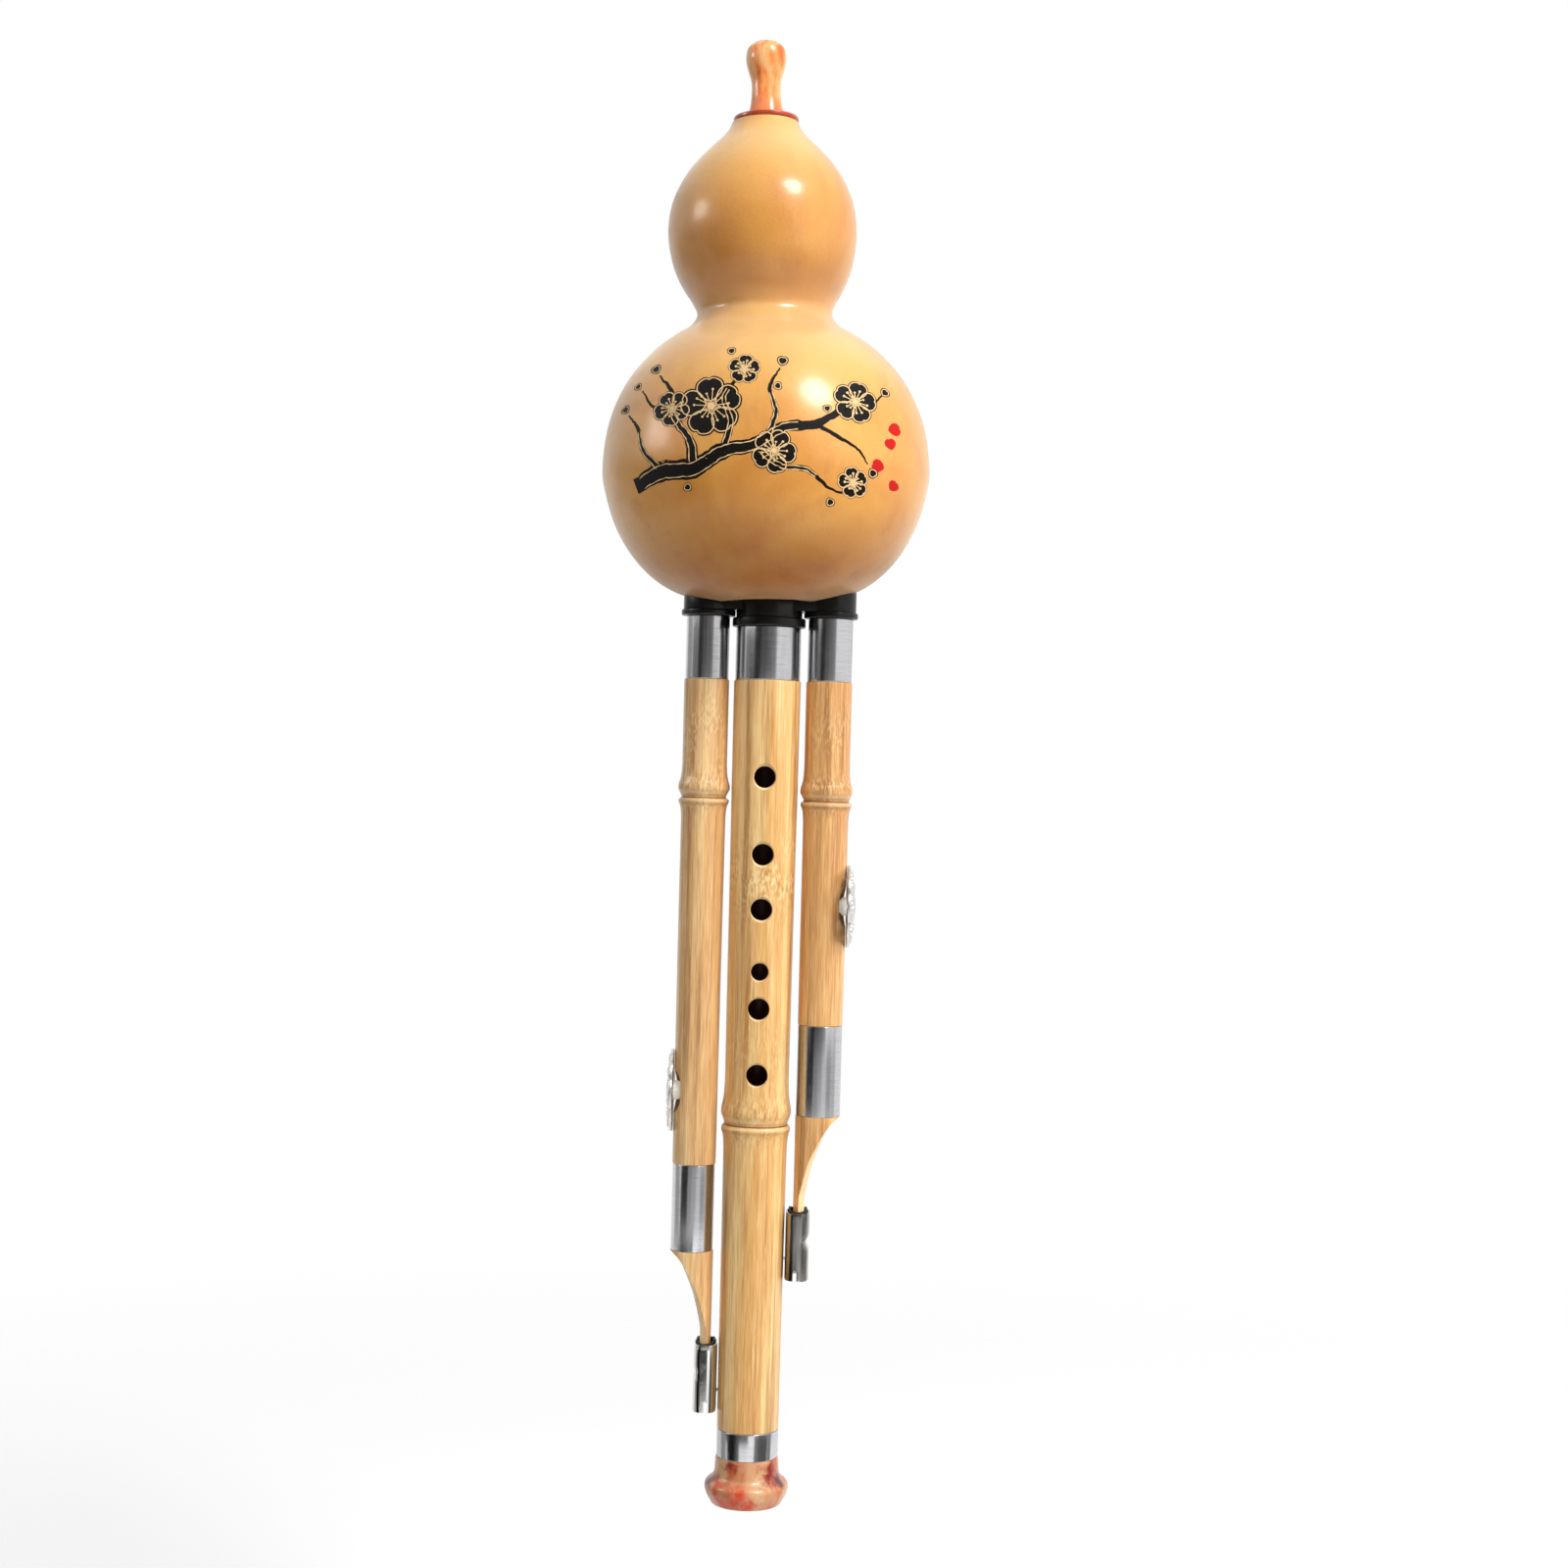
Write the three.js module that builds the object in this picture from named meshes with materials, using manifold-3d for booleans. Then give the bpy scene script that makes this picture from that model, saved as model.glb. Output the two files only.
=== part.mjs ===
// A hulusi, the gourd flute: a waisted gourd is the wind chamber, a turned mouthpiece feeds it, and
// three bamboo pipes hang below it, each with a brass free reed on a tenon inside the gourd. The
// middle pipe has the finger holes. The outer two are drones: each has a side hole with a plug-in
// stopper, and its lower end is cut like a quill to a tongue that sits in a clip on the middle pipe.
// Millimetres, +Z up, +X to the viewer's right, front to -Y. The origin is on the middle pipe's
// axis, level with the gourd's waist.
import * as THREE from 'three';
import { mergeVertices } from 'three/addons/utils/BufferGeometryUtils.js';
import Module from 'manifold-3d';

// Driving dimensions.
const fit = 0.3; // gap between round pieces that sit in one another
const seat = 0.05; // gap between flat faces that are glued or pushed together
const overrun = 1; // how far a cut runs past what it cuts
const weld = 0.0005; // vertices nearer than this are one

// The gourd's heights are measured from its waist. It leans to the left on its pipes.
const gourd = {
  top: 57.6,
  bottom: 86,
  neckRadius: 9.9,
  crownRadius: 28.4,
  crownHeight: 24.7,
  waistRadius: 20.4,
  bellyRadius: 49.2,
  bellyDepth: 47.6,
  dimple: 1.2,
  wall: 3.5,
  bow: 1.1,
  bowReach: 26,
  waistShift: 3.4,
  lean: THREE.MathUtils.degToRad(1.5),
};
// Each pair is a share of the way along that stretch, and the share of the rise in radius there.
const undersideShares = [[0.17, 0.97], [0.4, 0.89], [0.62, 0.75], [0.79, 0.58], [0.9, 0.4], [0.97, 0.18]];
const waistToBellyShares = [[0.08, 0.08], [0.15, 0.26], [0.24, 0.46], [0.42, 0.72], [0.68, 0.92]];
const waistToCrownShares = [[0.15, 0.15], [0.29, 0.41], [0.43, 0.63], [0.64, 0.85]];
const crownToNeckShares = [[0.24, 0.95], [0.42, 0.82], [0.58, 0.64], [0.74, 0.38], [0.86, 0.16], [0.95, 0.04]];
const undersideFlatShare = 0.3; // the flat ring round the dimple, of the belly's radius

// The mouthpiece: a thin flange on the gourd's neck, a flared foot, a waist and a bulb.
const mouthpiece = {
  height: 23.7,
  flangeRadius: 9.75,
  flange: 1.3,
  footRadius: 5.7,
  waistRadius: 4.45,
  bulbRadius: 6.05,
  lipRadius: 3.7,
  bore: 2.2,
  spigotRadius: 4.6,
  spigot: 13,
};
const mouthpieceShares = { foot: 0.12, waistLow: 0.28, waistHigh: 0.48, neck: 0.62, bulb: 0.82, brow: 0.93 };
const cork = { radius: 6.6, length: 11 };

// The black saddle under the gourd, and the flanged collars in its sockets.
const saddle = { sideRadius: 7.5, mainRadius: 9.9, bridge: 6, sideDrop: 2.5, mainDrop: 4.6, rise: 10 };
const collarRise = 6; // of the bushes above the gourd's lowest point

const reed = { tongueShare: 0.75, slit: 0.35 };

const mainPipe = {
  x: 0,
  flangeRadius: 11,
  flange: 2.75,
  bush: 8.7,
  tenon: { radius: 7.2, bore: 5, wall: 1.3, above: 46, shoulder: 2, spigot: 10 },
  seal: { radius: 7.55, inner: 6.5, height: 2.2, depthShare: 0.16 },
  reed: { width: 7.2, length: 25, thickness: 0.5, flat: 5.6 },
  sleeve: { radius: 9.8, wall: 0.6, length: 15.9 },
  topRadius: 10.05,
  endRadius: 9.2,
  length: 239.6,
  bore: 6.4,
  node: { depth: 148.3, swell: 0.95, groove: 0.35, reach: 13 },
};
const fingerHoleShares = [0.187, 0.283, 0.351, 0.428, 0.474, 0.556];
const fingerHoleRadius = 3.2;
const smallHoleRadius = 2.6;
const smallHole = 3; // the fourth hole down is the small one
const thumbHoleShare = 0.15;
const tuningHole = { share: 0.8, radius: 2.1 };

const sideTenon = { radius: 5.1, bore: 3.2, wall: 1, above: 40, shoulder: 1.6, spigot: 9 };
const sideSeal = { radius: 5.4, inner: 4.5, height: 1.8, depthShare: 0.16 };
const sideReed = { width: 5.2, length: 21, thickness: 0.4, flat: 3.9 };
const sideFlange = { flangeRadius: 8.1, flange: 1.85, bush: 6.3 };
const sideBore = 4.4;
const sideStopper = { recess: 5.4, recessLength: 6.6, recessDepth: 2.1, hole: 2.2 };

const leftPipe = {
  ...sideFlange,
  x: -18.2,
  tenon: sideTenon,
  seal: sideSeal,
  reed: sideReed,
  sleeve: { radius: 6.5, wall: 0.5, length: 18.9 },
  topRadius: 6.75,
  endRadius: 6.5,
  length: 163.8,
  bore: sideBore,
  node: { depth: 54.1, swell: 1.05, groove: 0.1, reach: 10 },
  stopper: { ...sideStopper, depth: 142.2, gap: -0.25 },
  ferrule: { radius: 6.35, wall: 0.5, length: 25.9 },
  quill: 27.6,
};
const rightPipe = {
  ...sideFlange,
  x: 18.5,
  tenon: sideTenon,
  seal: sideSeal,
  reed: sideReed,
  sleeve: { radius: 6.7, wall: 0.5, length: 18.9 },
  topRadius: 6.9,
  endRadius: 6.7,
  length: 121.5,
  bore: sideBore,
  node: { depth: 54.4, swell: 1, groove: 0.1, reach: 10 },
  stopper: { ...sideStopper, depth: 85.9, gap: 0.35 },
  ferrule: { radius: 6.65, wall: 0.5, length: 27.1 },
  quill: 28.9,
};

// The bamboo's node, as shares of its reach (down is negative) and of its swell.
const nodeShares = [[1, 0], [0.5, 0.3], [0.2, 1], [0.1, 0.8], [0, 0], [-0.12, 0.85], [-0.25, 0.45], [-0.6, 0]];

// The quill cut: how far down it, what the front view still shows beyond the pipe's axis as a share
// of the pipe's radius, and how much the knife leans there. The last two rows lie in the clip.
const quillShares = [[0, 1, 0], [0.05, 0.68, 0], [0.17, 0.33, 0.25], [0.31, 0.04, 0.45], [0.45, -0.2, 0.7],
  [0.6, -0.36, 0.9], [0.75, -0.48, 1.15], [0.88, -0.53, 1.35], [1, -0.545, 1.5]];
const tongueTipShare = -0.6;
const tongueInClip = 10;

// The stoppers: an openwork silver plate, a dark washer and a cream pad whose nipple plugs the hole.
const stopperPlate = { radius: 12.3, scallop: 0.9, lobes: 8, thickness: 1.5, pierce: 2, pierceShare: 0.62 };
const stopperHub = { radius: 3.1, crown: 2.5, height: 0.9 };
const stopperWasher = { radius: 4.6, thickness: 0.9 };
const stopperPad = { radius: 2.7, thickness: 1.9, nipple: 1.85, nippleLength: 1.4 };
const endPlug = { length: 7, taper: 0.3 };

// The clips on the middle pipe: a rolled tube, deeper than it is wide, crimped half way down.
const clip = { depth: 5.9, length: 20, wall: 0.5, crimp: 0.9, crimpShare: 0.44, crimpWidthShare: 0.08, slot: 1.1, slotLength: 3 };
const clipPower = 2 / 3; // squares the oval a little
const lining = { thickness: 0.7, length: 6.8 };
const clipPin = { radius: 0.6, headRadius: 1.3, head: 0.6, depthShare: 0.72, reach: 2 };

// The foot: a steel ring over the bamboo's end, and the flared bell.
const footFerrule = { radius: 9.2, wall: 0.5, length: 8.2 };
const bell = { neck: 9.2, rim: 12.5, height: 13.9, bore: 5.6, mouth: 9.5, spigotRadius: 6.9, spigot: 8 };
const bellShares = [[0.15, 0.03], [0.31, 0.2], [0.43, 0.52], [0.55, 0.85], [0.66, 1], [0.78, 1], [0.9, 0.84], [1, 0.48]];
const bellThroatShares = [[0.9, 0.72], [0.66, 0.33], [0.35, 0.04]];

// Facets round each kind of piece.
const facets = { gourd: 32, cavity: 14, mouthpiece: 24, main: 24, side: 18, inner: 12, hole: 14, pin: 8, clip: 16 };

// Heights that follow from the sizes.
const saddleSideFloor = -gourd.bottom - saddle.sideDrop;
const saddleMainFloor = -gourd.bottom - saddle.mainDrop;
const mainTop = saddleMainFloor - seat - mainPipe.flange;
const sideTop = saddleSideFloor - seat - sideFlange.flange;
const bushTop = -gourd.bottom + collarRise;

const wasm = await Module();
wasm.setup();

// Materials, with the colours seen in the photograph.
function finish(color, roughness, metalness = 0) {
  return new THREE.MeshStandardMaterial({ color, roughness, metalness });
}
const finishes = {
  gourd: finish(0xe2a763, 0.35),
  resin: finish(0xd98a55, 0.25),
  cork: finish(0xb98a5a, 0.9),
  black: finish(0x1c1b1a, 0.35),
  steel: finish(0xa9a8a8, 0.3, 1),
  silver: finish(0xc9c8c6, 0.35, 1),
  brass: finish(0xc9a24a, 0.35, 1),
  bamboo: finish(0xd9ae74, 0.5),
  ivory: finish(0xd8cfba, 0.5),
  cream: finish(0xefe7cf, 0.6),
  rubber: finish(0x24221f, 0.85),
};

// A closed solid from any closed geometry, with its faces turned outwards.
function solidOf(geometry) {
  geometry.deleteAttribute('normal');
  geometry.deleteAttribute('uv');
  const merged = mergeVertices(geometry, weld);
  const corners = merged.index.array;
  const build = (order) => {
    const triVerts = [];
    for (let i = 0; i < corners.length; i += order.length) {
      const face = order.map((step) => corners[i + step]);
      if (new Set(face).size === order.length) triVerts.push(...face);
    }
    const vertProperties = merged.attributes.position.array;
    return new wasm.Manifold(new wasm.Mesh({ numProp: 3, vertProperties, triVerts: new Uint32Array(triVerts) }));
  };
  const solid = build([0, 1, 2]);
  return solid.volume() > 0 ? solid : build([0, 2, 1]);
}

function cut(solid, ...cutters) {
  return cutters.reduce((left, cutter) => left.subtract(cutter), solid);
}

function join(first, ...others) {
  return others.reduce((whole, other) => whole.add(other), first);
}

// A named mesh from a solid.
function piece(name, material, solid) {
  const { vertProperties, triVerts } = solid.getMesh();
  const geometry = new THREE.BufferGeometry();
  geometry.setAttribute('position', new THREE.BufferAttribute(new Float32Array(vertProperties), 3));
  geometry.setIndex(new THREE.BufferAttribute(new Uint32Array(triVerts), 1));
  geometry.computeVertexNormals();
  const mesh = new THREE.Mesh(geometry, material);
  mesh.name = name;
  return mesh;
}

// A revolve about Z of an outline of [radius, height] points that starts and ends on the axis.
function revolve(outline, sides) {
  const points = outline.map(([radius, height]) => new THREE.Vector2(radius, height));
  return new THREE.LatheGeometry(points, sides).rotateX(Math.PI / 2);
}

// A revolve of an outline that closes on itself, for a piece with a bore.
function revolveRing(outline, sides) {
  return revolve([...outline, outline[0]], sides);
}

function disc(radius, low, high, sides) {
  return solidOf(revolve([[0, low], [radius, low], [radius, high], [0, high]], sides));
}

function tube(radius, bore, low, high, sides) {
  return solidOf(revolveRing([[bore, low], [radius, low], [radius, high], [bore, high]], sides));
}

// A round bar from one point to another.
function bar(radius, from, to, sides) {
  const way = to.clone().sub(from);
  const geometry = new THREE.CylinderGeometry(radius, radius, way.length(), sides);
  geometry.applyQuaternion(new THREE.Quaternion().setFromUnitVectors(new THREE.Vector3(0, 1, 0), way.normalize()));
  const middle = from.clone().add(to).divideScalar(2);
  return solidOf(geometry.translate(middle.x, middle.y, middle.z));
}

function block(low, high) {
  const size = high.clone().sub(low);
  const middle = low.clone().add(high).divideScalar(2);
  return solidOf(new THREE.BoxGeometry(size.x, size.y, size.z).translate(middle.x, middle.y, middle.z));
}

// A skin over level rings, lowest first, each anticlockwise and with as many points, capped at both ends.
function loft(rings) {
  const count = rings[0].length;
  const index = [];
  for (let level = 0; level < rings.length - 1; level += 1) {
    for (let side = 0; side < count; side += 1) {
      const next = (side + 1) % count;
      const low = level * count;
      const high = low + count;
      index.push(low + side, low + next, high + next, low + side, high + next, high + side);
    }
  }
  const top = (rings.length - 1) * count;
  const flat = (ring) => ring.map((point) => new THREE.Vector2(point.x, point.y));
  for (const [a, b, c] of THREE.ShapeUtils.triangulateShape(flat(rings[0]), [])) index.push(a, c, b);
  for (const [a, b, c] of THREE.ShapeUtils.triangulateShape(flat(rings[rings.length - 1]), [])) {
    index.push(top + a, top + b, top + c);
  }
  const geometry = new THREE.BufferGeometry().setFromPoints(rings.flat());
  geometry.setIndex(index);
  return solidOf(geometry);
}

// An outline moved along its own normals; it runs upwards, with the outside on its right.
function offsetOutline(outline, distance) {
  return outline.map(([radius, height], i) => {
    const [fromRadius, fromHeight] = outline[Math.max(i - 1, 0)];
    const [toRadius, toHeight] = outline[Math.min(i + 1, outline.length - 1)];
    const length = Math.hypot(toRadius - fromRadius, toHeight - fromHeight);
    const out = [(toHeight - fromHeight) / length, (fromRadius - toRadius) / length];
    return [radius + distance * out[0], height + distance * out[1]];
  });
}

function mix(from, to, share) {
  return from + (to - from) * share;
}

// The gourd's outline from the ring round its dimple up to its neck.
function gourdOutline() {
  const flatRadius = gourd.bellyRadius * undersideFlatShare;
  const underside = undersideShares.map(([down, rise]) => [
    mix(flatRadius, gourd.bellyRadius, rise), mix(-gourd.bellyDepth, -gourd.bottom, down)]);
  const belly = waistToBellyShares.map(([down, rise]) => [
    mix(gourd.waistRadius, gourd.bellyRadius, rise), mix(0, -gourd.bellyDepth, down)]);
  const crown = waistToCrownShares.map(([up, rise]) => [
    mix(gourd.waistRadius, gourd.crownRadius, rise), mix(0, gourd.crownHeight, up)]);
  const neck = crownToNeckShares.map(([up, rise]) => [
    mix(gourd.neckRadius, gourd.crownRadius, rise), mix(gourd.crownHeight, gourd.top, up)]);
  return [
    [flatRadius, -gourd.bottom], ...underside.reverse(),
    [gourd.bellyRadius, -gourd.bellyDepth], ...belly.reverse(),
    [gourd.waistRadius, 0], ...crown,
    [gourd.crownRadius, gourd.crownHeight], ...neck,
    [gourd.neckRadius, gourd.top],
  ];
}

// The filled gourd, grown or shrunk by a distance. Its crown is bowed a little to the left.
function filledGourd(grow, sides, outlinePoints = gourdOutline()) {
  const outline = offsetOutline(outlinePoints, grow);
  const last = outline[outline.length - 1];
  const geometry = revolve([[0, -gourd.bottom + gourd.dimple - grow], ...outline, [0, last[1]]], sides);
  const position = geometry.attributes.position;
  for (let i = 0; i < position.count; i += 1) {
    const reach = (position.getZ(i) - gourd.crownHeight) / gourd.bowReach;
    position.setX(i, position.getX(i) - gourd.bow * Math.exp(-reach * reach));
  }
  return geometry;
}

// The head's own frame: at the waist, leaning to the left.
const headFrame = new THREE.Matrix4()
  .makeRotationY(-gourd.lean)
  .setPosition(-gourd.waistShift, 0, 0);

// The hole that a collar's bush passes through, in the head's frame.
function bushHole(pipe) {
  const hole = new THREE.CylinderGeometry(pipe.bush + fit, pipe.bush + fit, gourd.bottom, facets.side);
  hole.rotateX(Math.PI / 2).translate(pipe.x, 0, -gourd.bottom - gourd.dimple);
  return solidOf(hole.applyMatrix4(headFrame.clone().invert()));
}

function makeGourd() {
  const mouth = disc(cork.radius + fit, gourd.top - cork.length - gourd.wall, gourd.top + overrun, facets.mouthpiece);
  const holes = [mainPipe, leftPipe, rightPipe].map(bushHole);
  const coarse = gourdOutline().filter((point, i) => i % 2 === 1);
  const cavity = solidOf(filledGourd(-gourd.wall, facets.cavity, coarse));
  const shell = cut(solidOf(filledGourd(0, facets.gourd)), cavity, mouth, ...holes);
  return piece('gourd', finishes.gourd, shell);
}

function makeMouthpiece() {
  const low = gourd.top + fit;
  const flangeTop = low + mouthpiece.flange;
  const at = (share) => flangeTop + (mouthpiece.height - mouthpiece.flange) * share;
  const shares = mouthpieceShares;
  const top = at(1);
  const round = mouthpiece.bulbRadius - mouthpiece.lipRadius;
  const outline = [
    [mouthpiece.bore, low - mouthpiece.spigot], [mouthpiece.spigotRadius, low - mouthpiece.spigot],
    [mouthpiece.spigotRadius, low], [mouthpiece.flangeRadius, low],
    [mouthpiece.flangeRadius, flangeTop], [mouthpiece.footRadius, flangeTop],
    [mix(mouthpiece.footRadius, mouthpiece.waistRadius, 0.6), at(shares.foot)],
    [mouthpiece.waistRadius, at(shares.waistLow)], [mouthpiece.waistRadius, at(shares.waistHigh)],
    [mix(mouthpiece.waistRadius, mouthpiece.bulbRadius, 0.55), at(shares.neck)],
    [mix(mouthpiece.waistRadius, mouthpiece.bulbRadius, 0.9), at(mix(shares.neck, shares.bulb, 0.5))],
    [mouthpiece.bulbRadius, at(shares.bulb)],
    [mouthpiece.lipRadius + round * 0.75, at(shares.brow)], [mouthpiece.lipRadius, top],
    [mouthpiece.bore, top],
  ];
  return piece('mouthpiece', finishes.resin, solidOf(revolveRing(outline, facets.mouthpiece)));
}

function makeCork() {
  const top = gourd.top;
  return piece('mouthpiece_cork', finishes.cork,
    tube(cork.radius, mouthpiece.spigotRadius + fit, top - cork.length, top, facets.mouthpiece));
}

function makeSaddle() {
  const top = -gourd.bottom + saddle.rise;
  const boss = (pipe, radius, floor) => bar(radius, new THREE.Vector3(pipe.x, 0, floor), new THREE.Vector3(pipe.x, 0, top), facets.main);
  const bridge = block(new THREE.Vector3(leftPipe.x, -saddle.bridge, saddleSideFloor), new THREE.Vector3(rightPipe.x, saddle.bridge, top));
  const body = join(boss(mainPipe, saddle.mainRadius, saddleMainFloor),
    boss(leftPipe, saddle.sideRadius, saddleSideFloor), boss(rightPipe, saddle.sideRadius, saddleSideFloor), bridge);
  const sockets = [mainPipe, leftPipe, rightPipe].map((pipe) => bar(pipe.bush + fit,
    new THREE.Vector3(pipe.x, 0, saddleMainFloor - overrun), new THREE.Vector3(pipe.x, 0, top + overrun), facets.side));
  const bed = solidOf(filledGourd(fit, facets.gourd).applyMatrix4(headFrame));
  return piece('pipe_base', finishes.black, cut(body, bed, ...sockets));
}

// A flanged bush. Its frame is its pipe's: the origin is at the middle of the flange's underside.
function makeCollar(name, pipe, top) {
  const bore = pipe.seal.radius + fit / 2;
  const outline = [
    [bore, 0], [pipe.flangeRadius, 0], [pipe.flangeRadius, pipe.flange],
    [pipe.bush, pipe.flange], [pipe.bush, bushTop - top], [bore, bushTop - top],
  ];
  return piece(name, finishes.black, solidOf(revolveRing(outline, facets.side)));
}

function makeSleeve(name, pipe, sides) {
  const { radius, wall, length } = pipe.sleeve;
  return piece(name, finishes.steel, tube(radius, radius - wall, -seat - length, -seat, sides));
}

// The tube that carries the reed up into the gourd, with the seal's groove and the reed's window.
function makeTenon(name, pipe) {
  const { radius, bore, above, shoulder, spigot, wall } = pipe.tenon;
  const shoulderRadius = pipe.sleeve.radius - pipe.sleeve.wall - fit;
  const shoulderFloor = -seat - shoulder;
  const spigotBore = pipe.bore - fit - wall;
  const groove = pipe.seal.inner - fit / 2;
  const sealLow = above * pipe.seal.depthShare - fit;
  const sealHigh = sealLow + pipe.seal.height + fit * 2;
  const outline = [
    [spigotBore, shoulderFloor - spigot], [pipe.bore - fit, shoulderFloor - spigot],
    [pipe.bore - fit, shoulderFloor], [shoulderRadius, shoulderFloor], [shoulderRadius, -seat],
    [radius, -seat], [radius, sealLow], [groove, sealLow], [groove, sealHigh], [radius, sealHigh],
    [radius, above], [bore, above], [bore, -seat], [spigotBore, shoulderFloor],
  ];
  const { width, length, flat } = pipe.reed;
  const flatLow = above - length - seat;
  const flatCut = block(new THREE.Vector3(-radius, -radius - overrun, flatLow),
    new THREE.Vector3(radius, -flat, above + overrun));
  const windowInset = (length * (1 - reed.tongueShare)) / 2;
  const window = block(new THREE.Vector3(-width / 3, -radius, flatLow + windowInset),
    new THREE.Vector3(width / 3, 0, above - windowInset));
  return piece(name, finishes.ivory, cut(solidOf(revolveRing(outline, facets.inner)), flatCut, window));
}

function makeSeal(name, pipe) {
  const low = pipe.tenon.above * pipe.seal.depthShare;
  return piece(name, finishes.rubber,
    tube(pipe.seal.radius, pipe.seal.inner, low, low + pipe.seal.height, facets.inner));
}

// A brass plate with a V-shaped slit that frees the tongue, flat on the tenon's front.
function makeReed(name, pipe) {
  const { width, length, thickness, flat } = pipe.reed;
  const plate = new THREE.Shape([
    new THREE.Vector2(-width / 2, 0), new THREE.Vector2(width / 2, 0),
    new THREE.Vector2(width / 2, length), new THREE.Vector2(-width / 2, length)]);
  const root = (length * (1 - reed.tongueShare)) / 2;
  const tip = length - root;
  const half = width / 4;
  plate.holes.push(new THREE.Path([
    new THREE.Vector2(-half, root), new THREE.Vector2(0, tip), new THREE.Vector2(half, root),
    new THREE.Vector2(half - reed.slit, root), new THREE.Vector2(0, tip - reed.slit * (length / width)),
    new THREE.Vector2(reed.slit - half, root)]));
  const geometry = new THREE.ExtrudeGeometry(plate, { depth: thickness, bevelEnabled: false });
  geometry.rotateX(Math.PI / 2).translate(0, -flat - seat, pipe.tenon.above - length);
  return piece(name, finishes.brass, solidOf(geometry));
}

function makeReedCap(name, pipe) {
  const { radius, bore, above, wall } = pipe.tenon;
  const low = above + seat;
  const outline = [[0, low - wall * 3], [bore - fit, low - wall * 3], [bore - fit, low], [radius, low],
    [radius, low + wall], [radius - wall, low + wall * 2], [0, low + wall * 2]];
  return piece(name, finishes.ivory, solidOf(revolve(outline, facets.inner)));
}

// A bamboo pipe's outline, top first: a rebate under the sleeve, the node, and a rebate at the end.
function bambooOutline(pipe, endRebate, endLength) {
  const { sleeve, tenon, node, topRadius, endRadius, length } = pipe;
  const top = -seat * 2 - tenon.shoulder;
  const rebate = sleeve.radius - sleeve.wall - fit;
  const shoulder = -seat * 2 - sleeve.length;
  const radiusAt = (height) => mix(topRadius, endRadius, (height - shoulder) / (-length - shoulder));
  const ring = nodeShares.map(([along, rise]) => {
    const height = -node.depth + along * node.reach;
    const groove = along === 0 ? node.groove : 0;
    return [radiusAt(height) + rise * node.swell - groove, height];
  });
  return [
    [rebate, top], [rebate, shoulder], [topRadius, shoulder], ...ring,
    [endRadius, -length], [endRebate, -length], [endRebate, -length - endLength],
  ];
}

function bambooTube(outline, bore, sides) {
  const top = outline[0][1];
  const end = outline[outline.length - 1][1];
  return solidOf(revolveRing([...outline, [bore, end], [bore, top]], sides));
}

function makeMainPipe() {
  const rebate = footFerrule.radius - footFerrule.wall - fit;
  const outline = bambooOutline(mainPipe, rebate, footFerrule.length);
  const pipe = bambooTube(outline, mainPipe.bore, facets.main);
  const drill = (share, radius, side) => bar(radius, new THREE.Vector3(0, 0, -mainPipe.length * share),
    new THREE.Vector3(0, side * (mainPipe.topRadius + mainPipe.node.swell + overrun), -mainPipe.length * share), facets.hole);
  const holes = fingerHoleShares.map((share, i) => drill(share, i === smallHole ? smallHoleRadius : fingerHoleRadius, -1));
  holes.push(drill(thumbHoleShare, fingerHoleRadius, 1), drill(tuningHole.share, tuningHole.radius, 1));
  const end = -mainPipe.length - footFerrule.length;
  const socket = disc(bell.spigotRadius + fit, end - overrun, end + bell.spigot + fit, facets.main);
  const pinHoles = [leftPipe, rightPipe].map((side) => {
    const height = clipPlace(side).pinHeight;
    const way = Math.sign(side.x);
    return bar(clipPin.radius + fit, new THREE.Vector3(way * (mainPipe.bore + (fit * 2)), 0, height),
      new THREE.Vector3(side.x, 0, height), facets.pin);
  });
  return piece('main_pipe', finishes.bamboo, cut(pipe, socket, ...holes, ...pinHoles));
}

// How the quill-cut tongue lies: its two faces, as distances from its own pipe's axis towards the middle.
function tongueOf(side) {
  const skin = side.endRadius;
  const face = -quillShares[quillShares.length - 1][1] * side.endRadius;
  return { skin, face, middle: (skin + face) / 2, thickness: skin - face };
}

// The knife's path: what it takes away from the pipe's lower end, on the side away from the middle pipe.
function quillCut(side) {
  const { endRadius, bore, length, ferrule, quill } = side;
  const start = -length - ferrule.length;
  const far = endRadius + overrun;
  const rows = [...quillShares, [1 + tongueInClip / quill, tongueTipShare, quillShares[quillShares.length - 1][2]]];
  const rings = rows.map(([down, reach, lean]) => {
    const edge = reach * endRadius;
    const wallAt = Math.abs(edge) < bore ? Math.sqrt(bore * bore - edge * edge) : 0;
    const middle = edge + lean * wallAt;
    const height = start - quill * down - (down > 1 ? overrun : 0);
    return [
      new THREE.Vector3(middle - lean * far, -far, height), new THREE.Vector3(far * 2, -far, height),
      new THREE.Vector3(far * 2, far, height), new THREE.Vector3(middle - lean * far, far, height),
      new THREE.Vector3(middle, 0, height),
    ];
  });
  return loft(rings.reverse());
}

// The drone hole: an oval scoop in the outer wall, and a small round hole at its bottom.
function stopperCuts(side) {
  const { recess, recessLength, recessDepth, hole, depth } = side.stopper;
  const floor = side.endRadius - recessDepth;
  const out = side.topRadius + overrun;
  const scoop = new THREE.CylinderGeometry(recess, recess, out - floor, facets.hole);
  scoop.rotateZ(-Math.PI / 2).scale(1, 1, recessLength / recess).translate((out + floor) / 2, 0, -depth);
  const through = bar(hole, new THREE.Vector3(0, 0, -depth), new THREE.Vector3(out, 0, -depth), facets.hole);
  return [solidOf(scoop), through];
}

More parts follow.
